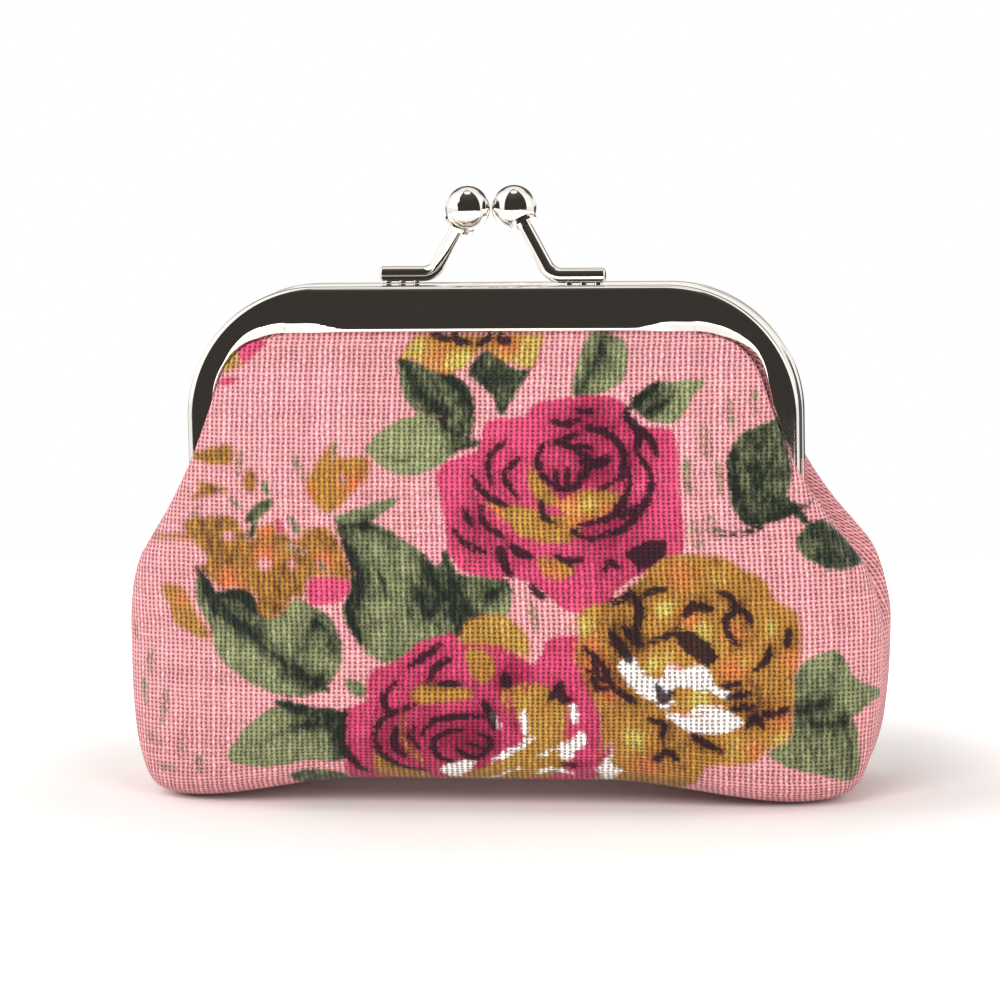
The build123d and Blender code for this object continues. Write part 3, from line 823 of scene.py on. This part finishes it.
def blossoms(ink):
    ochre = lambda tone, *points: area(ink, "ochre", points, tone)
    petal = lambda tone, *points: area(ink, "rose", points, tone)
    ochre(0.3, (-39.8, 29.1), (-37.9, 30.4), (-37.6, 35.2), (-34.7, 35.8), (-33.2, 33.9), (-30.9, 34.5),
          (-29, 34.9), (-26.5, 32.6), (-25.2, 34.2), (-21.7, 33.9), (-19.5, 29.5), (-19.2, 27.5),
          (-24.3, 26.3), (-25.5, 25), (-26.8, 25), (-28.4, 22.8), (-30.9, 22.8), (-31.9, 25.6),
          (-34.7, 26.6), (-36, 26.3), (-38.2, 28.2))
    ochre(0.55, (-44, 26.9), (-41.1, 26.6), (-39.4, 23.3), (-37.3, 20.2), (-38.8, 19.8), (-42.4, 22.1),
          (-42.8, 24))
    ochre(0.5, (-25.2, 39.6), (-23.6, 42.8), (-21.7, 45.2), (-20.8, 43.6), (-16.9, 43.6), (-16.8, 41.2),
          (-18.5, 39.3), (-20.1, 37.7), (-21.7, 36.3), (-23.3, 37.1))
    for x, z, w, h in ((-35.7, 43.9, 1.3, 1.4), (-37.1, 39.4, 2.0, 1.2), (-32.4, 40.5, 1.0, 1.7)):
        ochre(0.3, (x - w, z), (x, z + h), (x + w, z), (x, z - h))
    for centre, size in (((-35, 27.4), 1.7), ((-30.4, 34), 1.2), ((-30.2, 30.6), 1.5), ((-22.4, 30), 1.2),
                         ((-18.6, 40), 1.6), ((-25, 38.8), 1.2), ((-37, 32.2), 1.0), ((-41.4, 25), 0.9)):
        tint(ink, "fade", centre, size, 1.0)
    for x, z, s in ((-30.4, 29.6, 0.9), (-35.2, 33.4, 0.7), (-26.8, 29.6, 0.5)):
        area(ink, "ochre", ((x - s, z), (x, z + s), (x + s, z), (x, z - s)))
        ink["ochre"] = np.minimum(ink["ochre"], np.linalg.norm(ink["uv"] - ink["spot"](x, z), axis=-1) - s)
    petal(0.7, (-24.8, 27.4), (-22, 27.9), (-19.2, 27.3), (-20.1, 25.2), (-22.6, 24.4), (-24.6, 24.4))
    line(ink, "rose", 0.5, ((-28.8, 35.4), (-28.2, 33.6)), 0.7)
    for half, start, end, tone in ((0.9, (-32.8, 35.2), (-29.6, 37.9), 0.3),
                                   (0.6, (-32.4, 32.8), (-31.6, 35), 0.3),
                                   (0.5, (-27.2, 35.8), (-25.8, 33.6), 0.5),
                                   (0.5, (-30.6, 40.4), (-30, 38.8), 0.4),
                                   (0.4, (-27.6, 32), (-25.2, 31), 0.3),
                                   (0.45, (-23.2, 30.2), (-22.6, 28.6), 0.4),
                                   (0.35, (-20.6, 41.2), (-20, 40), 0.4),
                                   (0.4, (-21.2, 45.6), (-21.4, 43.6), 0.4)):
        line(ink, "leaf", half, (start, end), tone)
    # top edge
    ochre(0.75, (-12.6, 56.7), (-11, 59), (-10, 61.5), (5, 61.5), (6, 58.4), (4.6, 55.4), (0.6, 56.4),
          (-1.7, 57.6), (-4.6, 55.1), (-7.6, 54.7), (-10.8, 56.3))
    tint(ink, "fade", (-8, 56.6), 1.8, 0.8)
    tint(ink, "fade", (1.6, 58), 1.6, 0.8)
    tint(ink, "ochreTone", (-4, 57), 1.6, 1.0)
    for path in (((-8.3, 60.4), (-7.4, 59.4), (-6.4, 59)), ((-5.4, 60.4), (-4.9, 58.9), (-3.6, 58.7)),
                 ((-2.4, 58.1), (-1.4, 59), (-0.8, 60.3)), ((0.4, 60.2), (0.8, 59), (2, 58.8))):
        line(ink, "stroke", 0.5, path)
    ochre(0.65, (-36.2, 56.6), (-34.7, 58.4), (-32.2, 59.6), (-32.1, 57.2), (-34.1, 55.4), (-35.9, 55))
    petal(0.7, (-32.6, 58.8), (-29.8, 60.6), (-30.2, 58.6), (-33.2, 55.8))
    line(ink, "rose", 0.45, ((-36.4, 53.4), (-34, 53.9)), 0.7)


def bigRose(ink):
    stroke = lambda half, *points: line(ink, "stroke", half, points)
    ochre = lambda tone, *points: area(ink, "ochre", points, tone)
    area(ink, "rose", ((-8, 41.2), (-6.5, 43), (-2.6, 44.6), (-1.4, 48), (0.8, 48.7), (3.5, 48.9),
                       (5.3, 50.7), (9.3, 51.3), (13.9, 51.8), (16.8, 50.6), (17.9, 48.1), (19.7, 47.5),
                       (22.9, 47.2), (23.8, 44.1), (24, 39.6), (24.5, 35), (24.5, 31.7), (22.9, 29.6),
                       (19.5, 28.3), (16.4, 26.7), (14.8, 23.8), (13, 22.6), (10.7, 23.1), (8.4, 24),
                       (6, 26), (2.6, 27.8), (-0.1, 27.6), (-4.2, 28.5), (-6.2, 31), (-6.7, 35.1),
                       (-7.4, 38.7)), 0.62)
    for centre, size, tone in (((12.5, 48.6), 3.4, 0.4), ((13.6, 41.8), 2.2, 0.3),
                               ((15.4, 33), 4.0, 0.35), ((-2.5, 33), 3.5, 0.5), ((20.5, 30.5), 3.0, 0.4),
                               ((22, 40), 3, 0.72), ((18.4, 40), 1.6, 0.85), ((-4.5, 41), 3, 0.7),
                               ((8, 42.6), 2, 0.55), ((1, 47), 2.4, 0.7)):
        tint(ink, "roseTone", centre, size, tone)
    ochre(0.72, (10.3, 39.1), (13, 39.3), (16.1, 39.1), (16.2, 37.8), (14.8, 36), (10.5, 35.4), (8.2, 37.2))
    ochre(0.6, (-1.6, 37.6), (1.6, 37.4), (4.8, 36.9), (7.1, 36), (11.6, 36), (10.2, 32.8), (7.1, 32.3),
          (3.5, 33.2), (1, 35.4))
    ochre(0.62, (4.5, 42.6), (7.1, 39.6), (8.6, 37.6), (5.8, 37.4), (4.4, 39.6))
    ochre(0.55, (5.4, 30.3), (9.8, 30), (10, 28.4), (7.1, 27.5))
    for centre, size in (((-0.4, 37), 1.2), ((9.6, 37.6), 1.4), ((11.2, 35), 1.2), ((7.4, 28.2), 1.3),
                         ((14.6, 36.4), 1.0)):
        tint(ink, "fade", centre, size, 0.9)
    stroke(0.42, (6.4, 45.3), (5.4, 43.6), (5.9, 41.4), (7.5, 40), (9.3, 39.3), (10.9, 40.2),
           (11.8, 41.8), (11.6, 43.7), (10, 44.9), (8, 45.5), (5.8, 45.2))
    stroke(0.75, (11.2, 43.2), (12.8, 42.8), (15, 43.4))
    stroke(0.5, (10.8, 41), (12, 42.2), (11.8, 43.4))
    stroke(0.4, (8.2, 45.6), (9, 46), (10.5, 46.7))
    stroke(0.4, (10.2, 45), (11.4, 45), (12.6, 44.7))
    stroke(0.36, (7.7, 41.9), (7.9, 40))
    stroke(0.36, (9.4, 42.1), (9.1, 40))
    stroke(0.42, (11.4, 47.8), (13.9, 47.1), (15.9, 45.5), (16.8, 43.2), (15.9, 40.9), (13.7, 39.5))
    stroke(0.45, (16.6, 44), (17.5, 40.5), (16.6, 37.8), (14.3, 35.5), (10.2, 34.3))
    stroke(0.45, (18.2, 44.6), (20, 41.8), (20.2, 39.1), (19.1, 36.9), (17.5, 34.8), (14.8, 33.5),
           (12.3, 33), (10.2, 33.6))
    stroke(0.4, (19.6, 37.6), (17.2, 36.4), (15, 35.8))
    stroke(0.62, (18.4, 44.3), (18.6, 45.9), (18.4, 47.4), (17.2, 48.8), (17.3, 50.2))
    stroke(0.5, (18.8, 47.2), (20.2, 46), (21, 43.9))
    stroke(0.4, (7.1, 48.3), (9, 48), (10.8, 48.7))
    stroke(0.4, (10.4, 49.9), (12, 49.5), (13.2, 49.9))
    stroke(0.36, (11.8, 47.4), (13.6, 47.1), (15.4, 47.6))
    stroke(0.36, (1.2, 45.8), (-0.7, 44), (-1.1, 41.8), (-0.6, 40.1))
    stroke(0.38, (2.8, 43.5), (1.4, 41.8), (1.4, 40.3), (2.7, 38.3))
    stroke(0.42, (-3.2, 41.1), (-1.7, 38.9), (1.2, 37.2))
    stroke(0.4, (-2, 37.3), (-1.7, 35.1), (0.7, 33.2))
    stroke(0.48, (-4.3, 36.8), (-3.2, 34.4))
    stroke(0.36, (-5.7, 34), (-3.8, 32.1), (-1.3, 31.1))
    stroke(0.6, (0.4, 31.8), (1, 30), (2, 27.8))
    stroke(0.55, (1.8, 32), (3, 31.1), (4.6, 30.5))
    stroke(0.36, (5.9, 37.8), (6.2, 35.8), (7.5, 35))
    stroke(0.4, (7.8, 30.5), (9.5, 29.9), (11.4, 30.2))
    stroke(0.42, (14, 28.2), (14.8, 29.7), (16.1, 29.1))
    stroke(0.5, (4.6, 26.6), (6.2, 25))
    area(ink, "stroke", ((16.9, 30.7), (19.5, 32.4), (22.2, 32.5), (21.2, 29.7), (19.3, 29.1),
                         (18.5, 27.4), (18.4, 29.4)))


def lowerRoses(ink):
    stroke = lambda half, *points: line(ink, "stroke", half, points)
    petal = lambda half, *points: line(ink, "rose", half, points, 0.35)
    ochre = lambda tone, *points: area(ink, "ochre", points, tone)
    white = lambda *points: area(ink, "white", points)
    streak = lambda half, *points: line(ink, "white", half, points)
    area(ink, "rose", ((-19.7, 10.5), (-17.2, 11.7), (-16.7, 15.3), (-12.6, 17.2), (-10.3, 19.3),
                       (-6, 20.5), (-4.4, 19.7), (0.9, 19.2), (4.6, 16.4), (6.2, 18.2), (6.9, 19.9),
                       (10.3, 20.2), (13.8, 19.4), (12.9, 14.2), (13.8, 8.9), (14.3, 3), (12, -1.5),
                       (0, -1.6), (-10, -1.6), (-17.8, 0.6), (-19.9, 4.4), (-20.1, 7.5)), 0.55)
    for centre, size, tone in (((-4, 6), 3.6, 0.15), ((-13, 6), 3.0, 0.3), ((-17.6, 8), 1.8, 0.75),
                               ((-9, 16.5), 2.6, 0.6), ((2, 14), 3.0, 0.2), ((9.5, 16), 2.6, 0.6),
                               ((-15.4, 12.6), 2, 0.65), ((-9, 10.6), 2, 0.35)):
        tint(ink, "roseTone", centre, size, tone)
    ochre(0.6, (-4.8, 19.4), (-3.3, 22.5), (0.9, 22.9), (3.8, 20.6), (4.4, 17.8), (2.5, 17.8), (0.2, 18.8))
    ochre(0.5, (-3.8, 18.6), (-1, 18), (-0.2, 15.2), (-2, 13.8), (-3.6, 15.4))
    ochre(0.62, (-11.2, 13), (-8.2, 14.1), (-3.9, 13.5), (-3.1, 12.2), (-7.1, 11.6), (-10.4, 11.3))
    ochre(0.58, (0.9, 13.2), (5.8, 13.8), (9.2, 11.5), (9.2, 7.5), (8.6, 2.4), (0.9, 1.6), (-8, 1.2),
          (-1, 3.4), (3.6, 6.4), (3.1, 8.9), (1.7, 9.9))
    ochre(0.55, (-16.2, 4.6), (-13, 3.4), (-9, 2.4), (-9, 0.6), (-14.6, 2.2))
    line(ink, "ochre", 0.4, ((-12, 10.2), (-12.5, 7.8), (-11.6, 5.6), (-9.6, 3.6)), 0.5)
    # the ochre rose
    ochre(0.42, (10.4, 22.3), (12.4, 24.2), (15, 24.8), (18.8, 27.8), (21.6, 30.3), (24.9, 30.9),
          (29.3, 30.6), (32.6, 28.9), (35.4, 27.3), (37, 24.6), (39.5, 23.1), (40.1, 19), (39.3, 14.9),
          (39, 10.7), (38.4, 6.6), (35.4, 4.9), (33.2, 3.4), (28, 3), (26.3, 1), (22, -0.6), (15, -0.6),
          (13.6, 1.6), (13.6, 6), (13.4, 10), (11.9, 13.5), (10.4, 17.3), (10.8, 20.4))
    for x, z, size in ((22.4, 24, 2.2), (27.5, 20.8, 2.4), (20.4, 16.4, 2.0), (26.6, 12, 2.0),
                       (18.2, 6.6, 1.9), (31, 5.6, 2.0), (37.2, 6.4, 1.6), (11.6, 21.6, 1.5),
                       (33.6, 16, 1.6), (29, 27, 1.4), (19, 21, 1.3), (36, 21, 1.6), (22.6, 19, 1.3),
                       (29.6, 22, 1.2)):
        tint(ink, "ochreTone", (x, z), size * 1.3, 0.78)
    for x, z, size in ((25.4, 22.4, 1.2), (30.8, 15.6, 1.8), (37.4, 9, 1.6), (12.6, 16, 1.8),
                       (14.6, 13, 1.6), (31.4, 20.6, 1.0), (20, 3, 1.8), (33.6, 5, 1.4), (24, 28, 1.6),
                       (16, 26, 1.2), (39, 17, 1.3), (12.6, 19, 1.1)):
        tint(ink, "fade", (x, z), size, 0.75)
    white((16, 16.4), (18, 17.3), (19.4, 15.1), (21.6, 14.6), (22.6, 16.2), (24.6, 15.7), (27.1, 16.3),
          (28.4, 14.3), (27.4, 12.9), (23.8, 13.5), (21.6, 11.6), (19.4, 12.2), (17.2, 14.1))
    streak(0.5, (27.8, 13.8), (29, 12.8), (30.6, 12.3))
    white((22.4, 9.7), (25, 9.9), (27.7, 11.1), (32.3, 9.1), (31, 7.9), (27.1, 7.3), (24.3, 8))
    streak(0.35, (21.6, 10.9), (23.4, 11.4))
    line(ink, "rose", 0.2, ((22.6, 9.9), (25.6, 9.6), (27.8, 10.2)), 0.8)
    line(ink, "rose", 0.2, ((22.6, 16.4), (24.4, 15.5)), 0.8)
    # whites and thin petals between
    streak(0.45, (3.4, 10.1), (3.7, 7.3))
    streak(0.4, (-0.6, 10.1), (0.2, 8.1))
    streak(0.42, (-0.6, 3.7), (2, 5), (4.9, 6.8))
    white((-7.3, 2.6), (-5.6, 3.6), (-2.6, 3.7), (-3.6, 2.6), (-5.4, 2.1))
    streak(0.22, (-8.7, 1.8), (-3, 1.9), (3.3, 3))
    white((8, 5.8), (10.2, 6.6), (11.1, 7.6), (12, 6.2), (10.6, 5.2), (9.2, 3.8))
    streak(0.45, (10, 11.2), (10.4, 8.7))
    white((13.3, 2.8), (14.2, 3.8), (15, 5.3), (15.2, 3.2), (16.4, 2.6), (14.6, 1.8))
    streak(0.4, (5.3, 2.1), (7.2, 2.8), (9.8, 2.1))
    streak(0.25, (5.6, 4.4), (7.4, 5.2))
    petal(0.3, (9.6, 11.6), (9.4, 8.6), (8.8, 6.6))
    petal(0.3, (12.6, 12), (13.4, 8.6), (12.8, 5))
    petal(0.55, (9.4, 4), (12, 3.4), (14.4, 4.6), (15, 6))
    petal(0.45, (1, 17.2), (3.4, 15.2), (4.2, 12.4))
    petal(0.5, (1.4, 12.8), (2, 9.6), (3, 7.4))
    # outlines
    stroke(0.42, (-1.2, 9.7), (-4.4, 9.6), (-8.2, 9.1), (-9.8, 7.3))
    stroke(0.6, (-0.2, 7.9), (-0.8, 9.5), (-1.8, 11.6))
    stroke(0.42, (-4.2, 8), (-6.6, 7.5), (-8.2, 6.2), (-7.6, 4.3), (-5.6, 3.7))
    stroke(0.46, (-2.4, 7.4), (-0.9, 6.5), (-1.7, 4.8), (-3.3, 4.2), (-5.2, 5.2))
    stroke(0.4, (-4.1, 6.3), (-1.9, 5.5))
    stroke(0.4, (-10.8, 8.5), (-11.3, 7), (-10.2, 5.4))
    stroke(0.6, (-13, 8.1), (-13.5, 6.2), (-12.2, 4.5))
    stroke(0.4, (-10.8, 11.1), (-13.8, 9.9), (-15.7, 8.3), (-15.9, 6.2), (-14.6, 4.3), (-11.9, 3),
           (-9, 2.6))
    stroke(0.42, (-13.2, 14.2), (-14.6, 12.6), (-14.6, 10.9), (-13.6, 10))
    stroke(0.4, (-11.6, 16.1), (-9, 17.7), (-7.2, 19.1))
    stroke(0.4, (-9.1, 14), (-7.9, 16.1), (-6.1, 17.1))
    stroke(0.42, (-7.6, 13.8), (-4.8, 13.9))
    stroke(0.75, (1.1, 14.9), (1.5, 13.6))
    stroke(0.5, (6.9, 11.6), (8.2, 13.8), (8.4, 11.9), (9.7, 11.7))
    stroke(0.55, (-19.9, 10.4), (-20.3, 6.2), (-18.4, 3.4), (-16.8, 2.4))
    stroke(0.4, (8.5, 3.4), (11, 3))
    stroke(0.62, (17.5, 26.3), (18.8, 23.7), (18.3, 20.9), (18.9, 18.4))
    stroke(0.4, (18.6, 24.8), (20, 25.9), (22.4, 26.3))
    stroke(0.42, (14.8, 24.8), (16.2, 24.8), (17.5, 25.9))
    stroke(0.7, (15, 20.9), (16, 19), (17.5, 16.9))
    stroke(0.5, (16.6, 21.2), (18.4, 19.3))
    stroke(0.36, (20, 19.4), (22.4, 20.1), (23.9, 21.6))
    area(ink, "stroke", ((23.4, 20.7), (26, 20.5), (28.9, 17.9), (27.8, 16.3), (26, 17.4), (24.6, 18.4)))
    stroke(0.6, (24.5, 22.8), (26, 24), (28.4, 23.7))
    stroke(0.45, (28.6, 26), (30.8, 25.2), (31.2, 23.4), (30.1, 22.3), (30.4, 20.7), (31.9, 18.8))
    stroke(0.42, (31.7, 23.9), (32.9, 22.9), (33.4, 21.3))
    stroke(0.48, (38.4, 21.1), (38, 18.8))
    stroke(0.42, (35.9, 18.6), (35.4, 17.1), (33.9, 15.6))
    stroke(0.4, (29.4, 13.5), (32.3, 14))
    stroke(0.4, (30.5, 12.1), (33.4, 12.5))
    stroke(0.4, (31, 10.6), (33.7, 11))
    stroke(0.42, (34.6, 9.9), (36.6, 10), (38.3, 10.6))
    stroke(0.5, (32.7, 8), (34, 9.4), (35, 8.1))
    stroke(0.42, (20, 9.2), (21.9, 8.5), (21.6, 6.7))
    stroke(0.6, (25.8, 7.1), (27.4, 6), (29.5, 5.1))
    stroke(0.55, (20.8, 3.9), (22.4, 5), (23.7, 3.9))
    stroke(0.48, (21.2, 13.8), (21.8, 11.8), (23.2, 13.1))
    stroke(0.45, (11.7, 18.6), (13.9, 16.2), (15.2, 13.7), (18.2, 11.4))
    stroke(0.42, (12, 15.9), (13.3, 13.5), (15.4, 13.4))
    stroke(0.4, (12.6, 17), (13.6, 14.6), (15, 14.2))


printing = {"bareRows": 12, "behind": (9, 5)}  # rows at the floor's far edge; the back's shift in mm
print("stage: print")
seenFront = asSeen(front)
facing = np.gradient(front[..., 0], axis=1) > 0.02
facing[:len(bag["tuck"])] = False
facing[-printing["bareRows"]:] = False


def place(x, z):
    # where a spot of the front view lies on the flat cloth
    seen, spots = seenFront[facing], flat[facing]
    away = np.hypot(seen[:, 0] - x, seen[:, 1] - z)
    near = np.argpartition(away, 4)[:4]
    share = 1 / (away[near] + 1e-3)
    return (spots[near] * share[:, None]).sum(0) / share.sum()


def placeBehind(x, z):
    # the same drawing turned round and moved along the cloth for the other half
    u, v = place(x, z)
    return np.array((printing["behind"][0] - u, v + printing["behind"][1]))


def paint(spot):
    ink = newInk(flat, spot)
    for stage in (leaves, blossoms, bigRose, lowerRoses):
        stage(ink)
    pack = lambda *keys: np.stack([ink[key] for key in keys] + [np.ones(flat.shape[:2])], -1)
    return {"inkA": pack("leaf", "rose", "ochre"), "inkB": pack("stroke", "leafTone", "roseTone"),
            "inkC": pack("white", "ochreTone", "fade")}


print("stage: panels")
for name, side, body, points, spot in (("front_panel", "front", "front_half", front, place),
                                       ("back_panel", "back", "back_half", rear, placeBehind)):
    panel = makePanel(name, side, points, flat, paint(spot), bag["thickness"], linen)
    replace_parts(panel, side + "_panel_upper", side + "_panel_lower")


# what lies under the printed cloth, in mm
layers = {
    "interlining": {"depth": 0.78, "thickness": 0.3},
    "lining": {"depth": 1.25, "thickness": 0.3},
    "spacing": 1.1,
    "floorSpacing": 1.6,
    "columns": 54,
}


def plainCloth(name, low, high, weaveSize, rough):
    s = Shader(name)
    at = s.node("TexCoord", {}, {}, out=3)
    x, y, z = s.split(at)
    turn = 2 * math.pi / (weaveSize * mm)
    lines = s.math("SINE", (x + y) * turn) * s.math("SINE", z * turn)
    cloud = s.noise(at, 260.0, 3.0)
    s.set(Base_Color=s.mix((lines * 0.25 + cloud).ramp(0.2, 0.9), low, high), Roughness=rough)
    s.set(Normal=s.node("Bump", {}, {"Strength": 0.3, "Distance": 0.0001, "Height": lines}))
    return s.made


plain = {  # two shades, thread spacing in mm and roughness
    "liningPolyester": (hue(196, 172, 168), hue(226, 206, 200), 0.45, 0.6),
    "interliningFelt": (hue(226, 222, 214), hue(240, 238, 232), 0.9, 0.95),
    "twistedPaper": (hue(180, 152, 112), hue(206, 182, 142), 0.6, 0.9),
    "seamThread": (hue(214, 140, 144), hue(232, 164, 168), 0.2, 0.7),
}
liningCloth, feltCloth, cordPaper, seamThread = [plainCloth(name, *look) for name, look in plain.items()]


print("stage: inner layers")
for side, body, way in (("front", "front_half", 1), ("back", "back_half", -1)):
    for kind, look in (("interlining", feltCloth), ("lining", liningCloth)):
        points, spread = wholePanel(bag, layers["spacing"], layers["floorSpacing"], layers["columns"], way)
        points = points - outward(points) * layers[kind]["depth"]
        points[..., 1] = np.minimum(points[..., 1], -0.08)
        points[..., 2] = np.maximum(points[..., 2], layers[kind]["depth"])
        piece = makePanel(side + "_" + kind, side, points, spread, {}, layers[kind]["thickness"],
                          look)
        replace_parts(piece, side + "_" + kind + "_upper", side + "_" + kind + "_lower")

# the seam threads in mm: their spacing, half length and half width, and where the side seams run
stitch = {"pitch": 1.9, "reach": 0.75, "girth": 0.16, "inside": 1.1, "low": 3.0, "high": 24.0}


def stitchesAt(name, spots):
    bm = bmesh.new()
    for x, z in spots:
        shape = bmesh.ops.create_uvsphere(bm, u_segments=8, v_segments=6, radius=mm)["verts"]
        bmesh.ops.scale(bm, verts=shape, vec=(stitch["girth"], stitch["reach"], stitch["girth"]))
        bmesh.ops.translate(bm, verts=shape, vec=(x * mm, 0, z * mm))
    piece = linkMesh(bm, name)
    piece.data.materials.append(seamThread)
    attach(piece, "pouch")
    return piece


heights = np.arange(stitch["low"], stitch["high"], stitch["pitch"])
shift = along(bag["lean"], heights)
inwards = along(bag["edge"], heights) - stitch["inside"]
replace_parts(stitchesAt("right_seam_thread", zip(inwards + shift, heights)), "right_side_stitches")
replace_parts(stitchesAt("left_seam_thread", zip(shift - inwards, heights)), "left_side_stitches")
across = np.arange(-40, 40.1, stitch["pitch"])
rise = bag["arch"] * (1 - smooth(15, 42, np.abs(across))) + stitch["inside"]
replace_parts(stitchesAt("bottom_seam_thread", zip(across, rise)), "bottom_stitches")


# the room that the metal mirrors: bearings and heights in degrees, lights as shares
room = {
    "curtain": 17.0,  # bearing of the unlit side
    "curtainWidth": 1.02,
    "low": -11.5,
    "high": 78.0,
    "box": 1.25,
    "boxOut": 112.0,
    "dark": 0.042,
    "sky": 1.0,
    "floorShade": 0.25,
    "rear": 0.09,
    "rearWidth": 46.0,
    # heights where each band comes and goes
    "rearBands": ((13.0, 17.0, 38.0, 48.0), (-14.0, -12.0, -3.0, -1.0)),
}


def roomLook():
    s = Shader("room", "worlds", "Background")
    x, y, z = s.split(s.node("TexCoord"))
    c, d = math.cos(math.radians(room["curtain"])), math.sin(math.radians(room["curtain"]))
    perRadian = math.degrees(1)
    side, ahead = x * c + y * d, x * d - y * c
    height = s.math("ARCSINE", z) * perRadian
    wide = s.math("ABSOLUTE", side) / (ahead + 0.36)
    facing = (ahead + 0.36).ramp(0.0, 0.05)
    inside = (1.0 - wide.ramp(room["curtainWidth"] - 0.03, room["curtainWidth"] + 0.03)) * facing
    over = height.ramp(room["low"] - 0.7, room["low"] + 0.7)
    under = 1.0 - height.ramp(room["high"] - 2, room["high"] + 2)
    dark = inside * over * under
    turn = s.math("ABSOLUTE", s.math("ARCTAN2", x, -y) * perRadian)
    box = (1.0 - turn.ramp(room["boxOut"] - 3, room["boxOut"] + 3)) * height.ramp(-2.0, 2.0)
    behind = turn.ramp(180 - room["rearWidth"] - 6, 180 - room["rearWidth"] + 6)
    bands = [height.ramp(a, b) * (1.0 - height.ramp(c, d)) for a, b, c, d in room["rearBands"]]
    rear = (bands[0] + bands[1]) * behind
    light = room["sky"] + box * (room["box"] - room["sky"])
    light = light * (1.0 - rear) + rear * room["rear"]
    light = light * (1.0 - room["floorShade"] * (1.0 - height.ramp(room["low"] - 3.0, room["low"])))
    light = light * (1.0 - dark) + dark * (room["dark"] + 0.05 * height.ramp(30.0, 80.0))
    grey = s.join(light, light * (0.975 - 0.09 * dark), light * (0.95 - 0.15 * dark))
    seen = s.node("LightPath")
    s.feed(s.skin.inputs[0], s.mix(seen, grey, (1.0, 1.0, 1.0, 1.0)))
    bpy.context.scene.world = s.made


roomLook()
print("stage: room")
table = {"reach": (0.26, 0.24, 1), "middle": (0, -0.03, -0.0002), "glow": (0.042, 0.105)}
bm = bmesh.new()
bmesh.ops.create_grid(bm, x_segments=1, y_segments=1, size=1)
bmesh.ops.scale(bm, verts=bm.verts, vec=table["reach"])
bmesh.ops.translate(bm, verts=bm.verts, vec=table["middle"])
floor = linkMesh(bm, "table_top", False)
s = Shader("tableWhite")
x, y, _ = s.split(s.node("TexCoord", {}, {}, out=3))
away = s.math("SQRT", x * x * 0.6 + y * y)
glow = away.ramp(*table["glow"])  # painted light: the table glows more the farther it lies from the purse, so it fades out into the white
s.set(Base_Color=hue(246, 244, 242), Roughness=0.6, Emission_Color=s.join(glow, glow, glow),
      Emission_Strength=1.0)
floor.data.materials.append(s.made)

lamps = {
    "key": ((-0.16, -0.62, 0.42), 0.34, 3.3),
    "fill": ((0.34, -0.5, 0.22), 0.3, 2.5),
    "sideLeft": ((-0.6, -0.05, 0.3), 0.3, 1.2),
}
for name, (spot, size, power) in lamps.items():
    lamp = bpy.data.objects.new(name, bpy.data.lights.new(name, "AREA"))
    bpy.context.scene.collection.objects.link(lamp)
    lamp.location = spot
    lamp.rotation_euler = (Vector((0, 0, 0.03)) - Vector(spot)).to_track_quat("-Z", "Y").to_euler()
    lamp.data.size = size
    lamp.data.energy = power
    lamp.visible_glossy = False
right, up, back = eyeAxes()
camera = bpy.data.objects.new("eye", bpy.data.cameras.new("eye"))
bpy.context.scene.collection.objects.link(camera)
camera.matrix_world = Matrix.Translation(Vector(np.array(eye["aim"]) + back * eye["distance"]) * mm) @ \
    Matrix((right, up, back)).transposed().to_4x4()
camera.data.lens = 36 * eye["distance"] / eye["span"]
camera.data.sensor_width = 36
camera.data.clip_start = 0.05
bpy.context.scene.camera = camera
bpy.context.scene.view_settings.view_transform = "Standard"


finishes = {chrome: ("front_clasp_arm", "back_clasp_arm", "front_clasp_ball", "back_clasp_ball",
                     "left_hinge_rivet", "right_hinge_rivet", "front_frame", "back_frame"),
            cordPaper: ("front_paper_cord", "back_paper_cord")}
for look, nodes in finishes.items():
    for node in nodes:
        piece = bpy.data.objects[node]
        if not piece.material_slots:
            piece.data.materials.append(look)
        for held in piece.material_slots:
            held.material = look
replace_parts(bpy.data.objects["front_rail"], "front_frame")
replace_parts(bpy.data.objects["back_rail"], "back_frame")
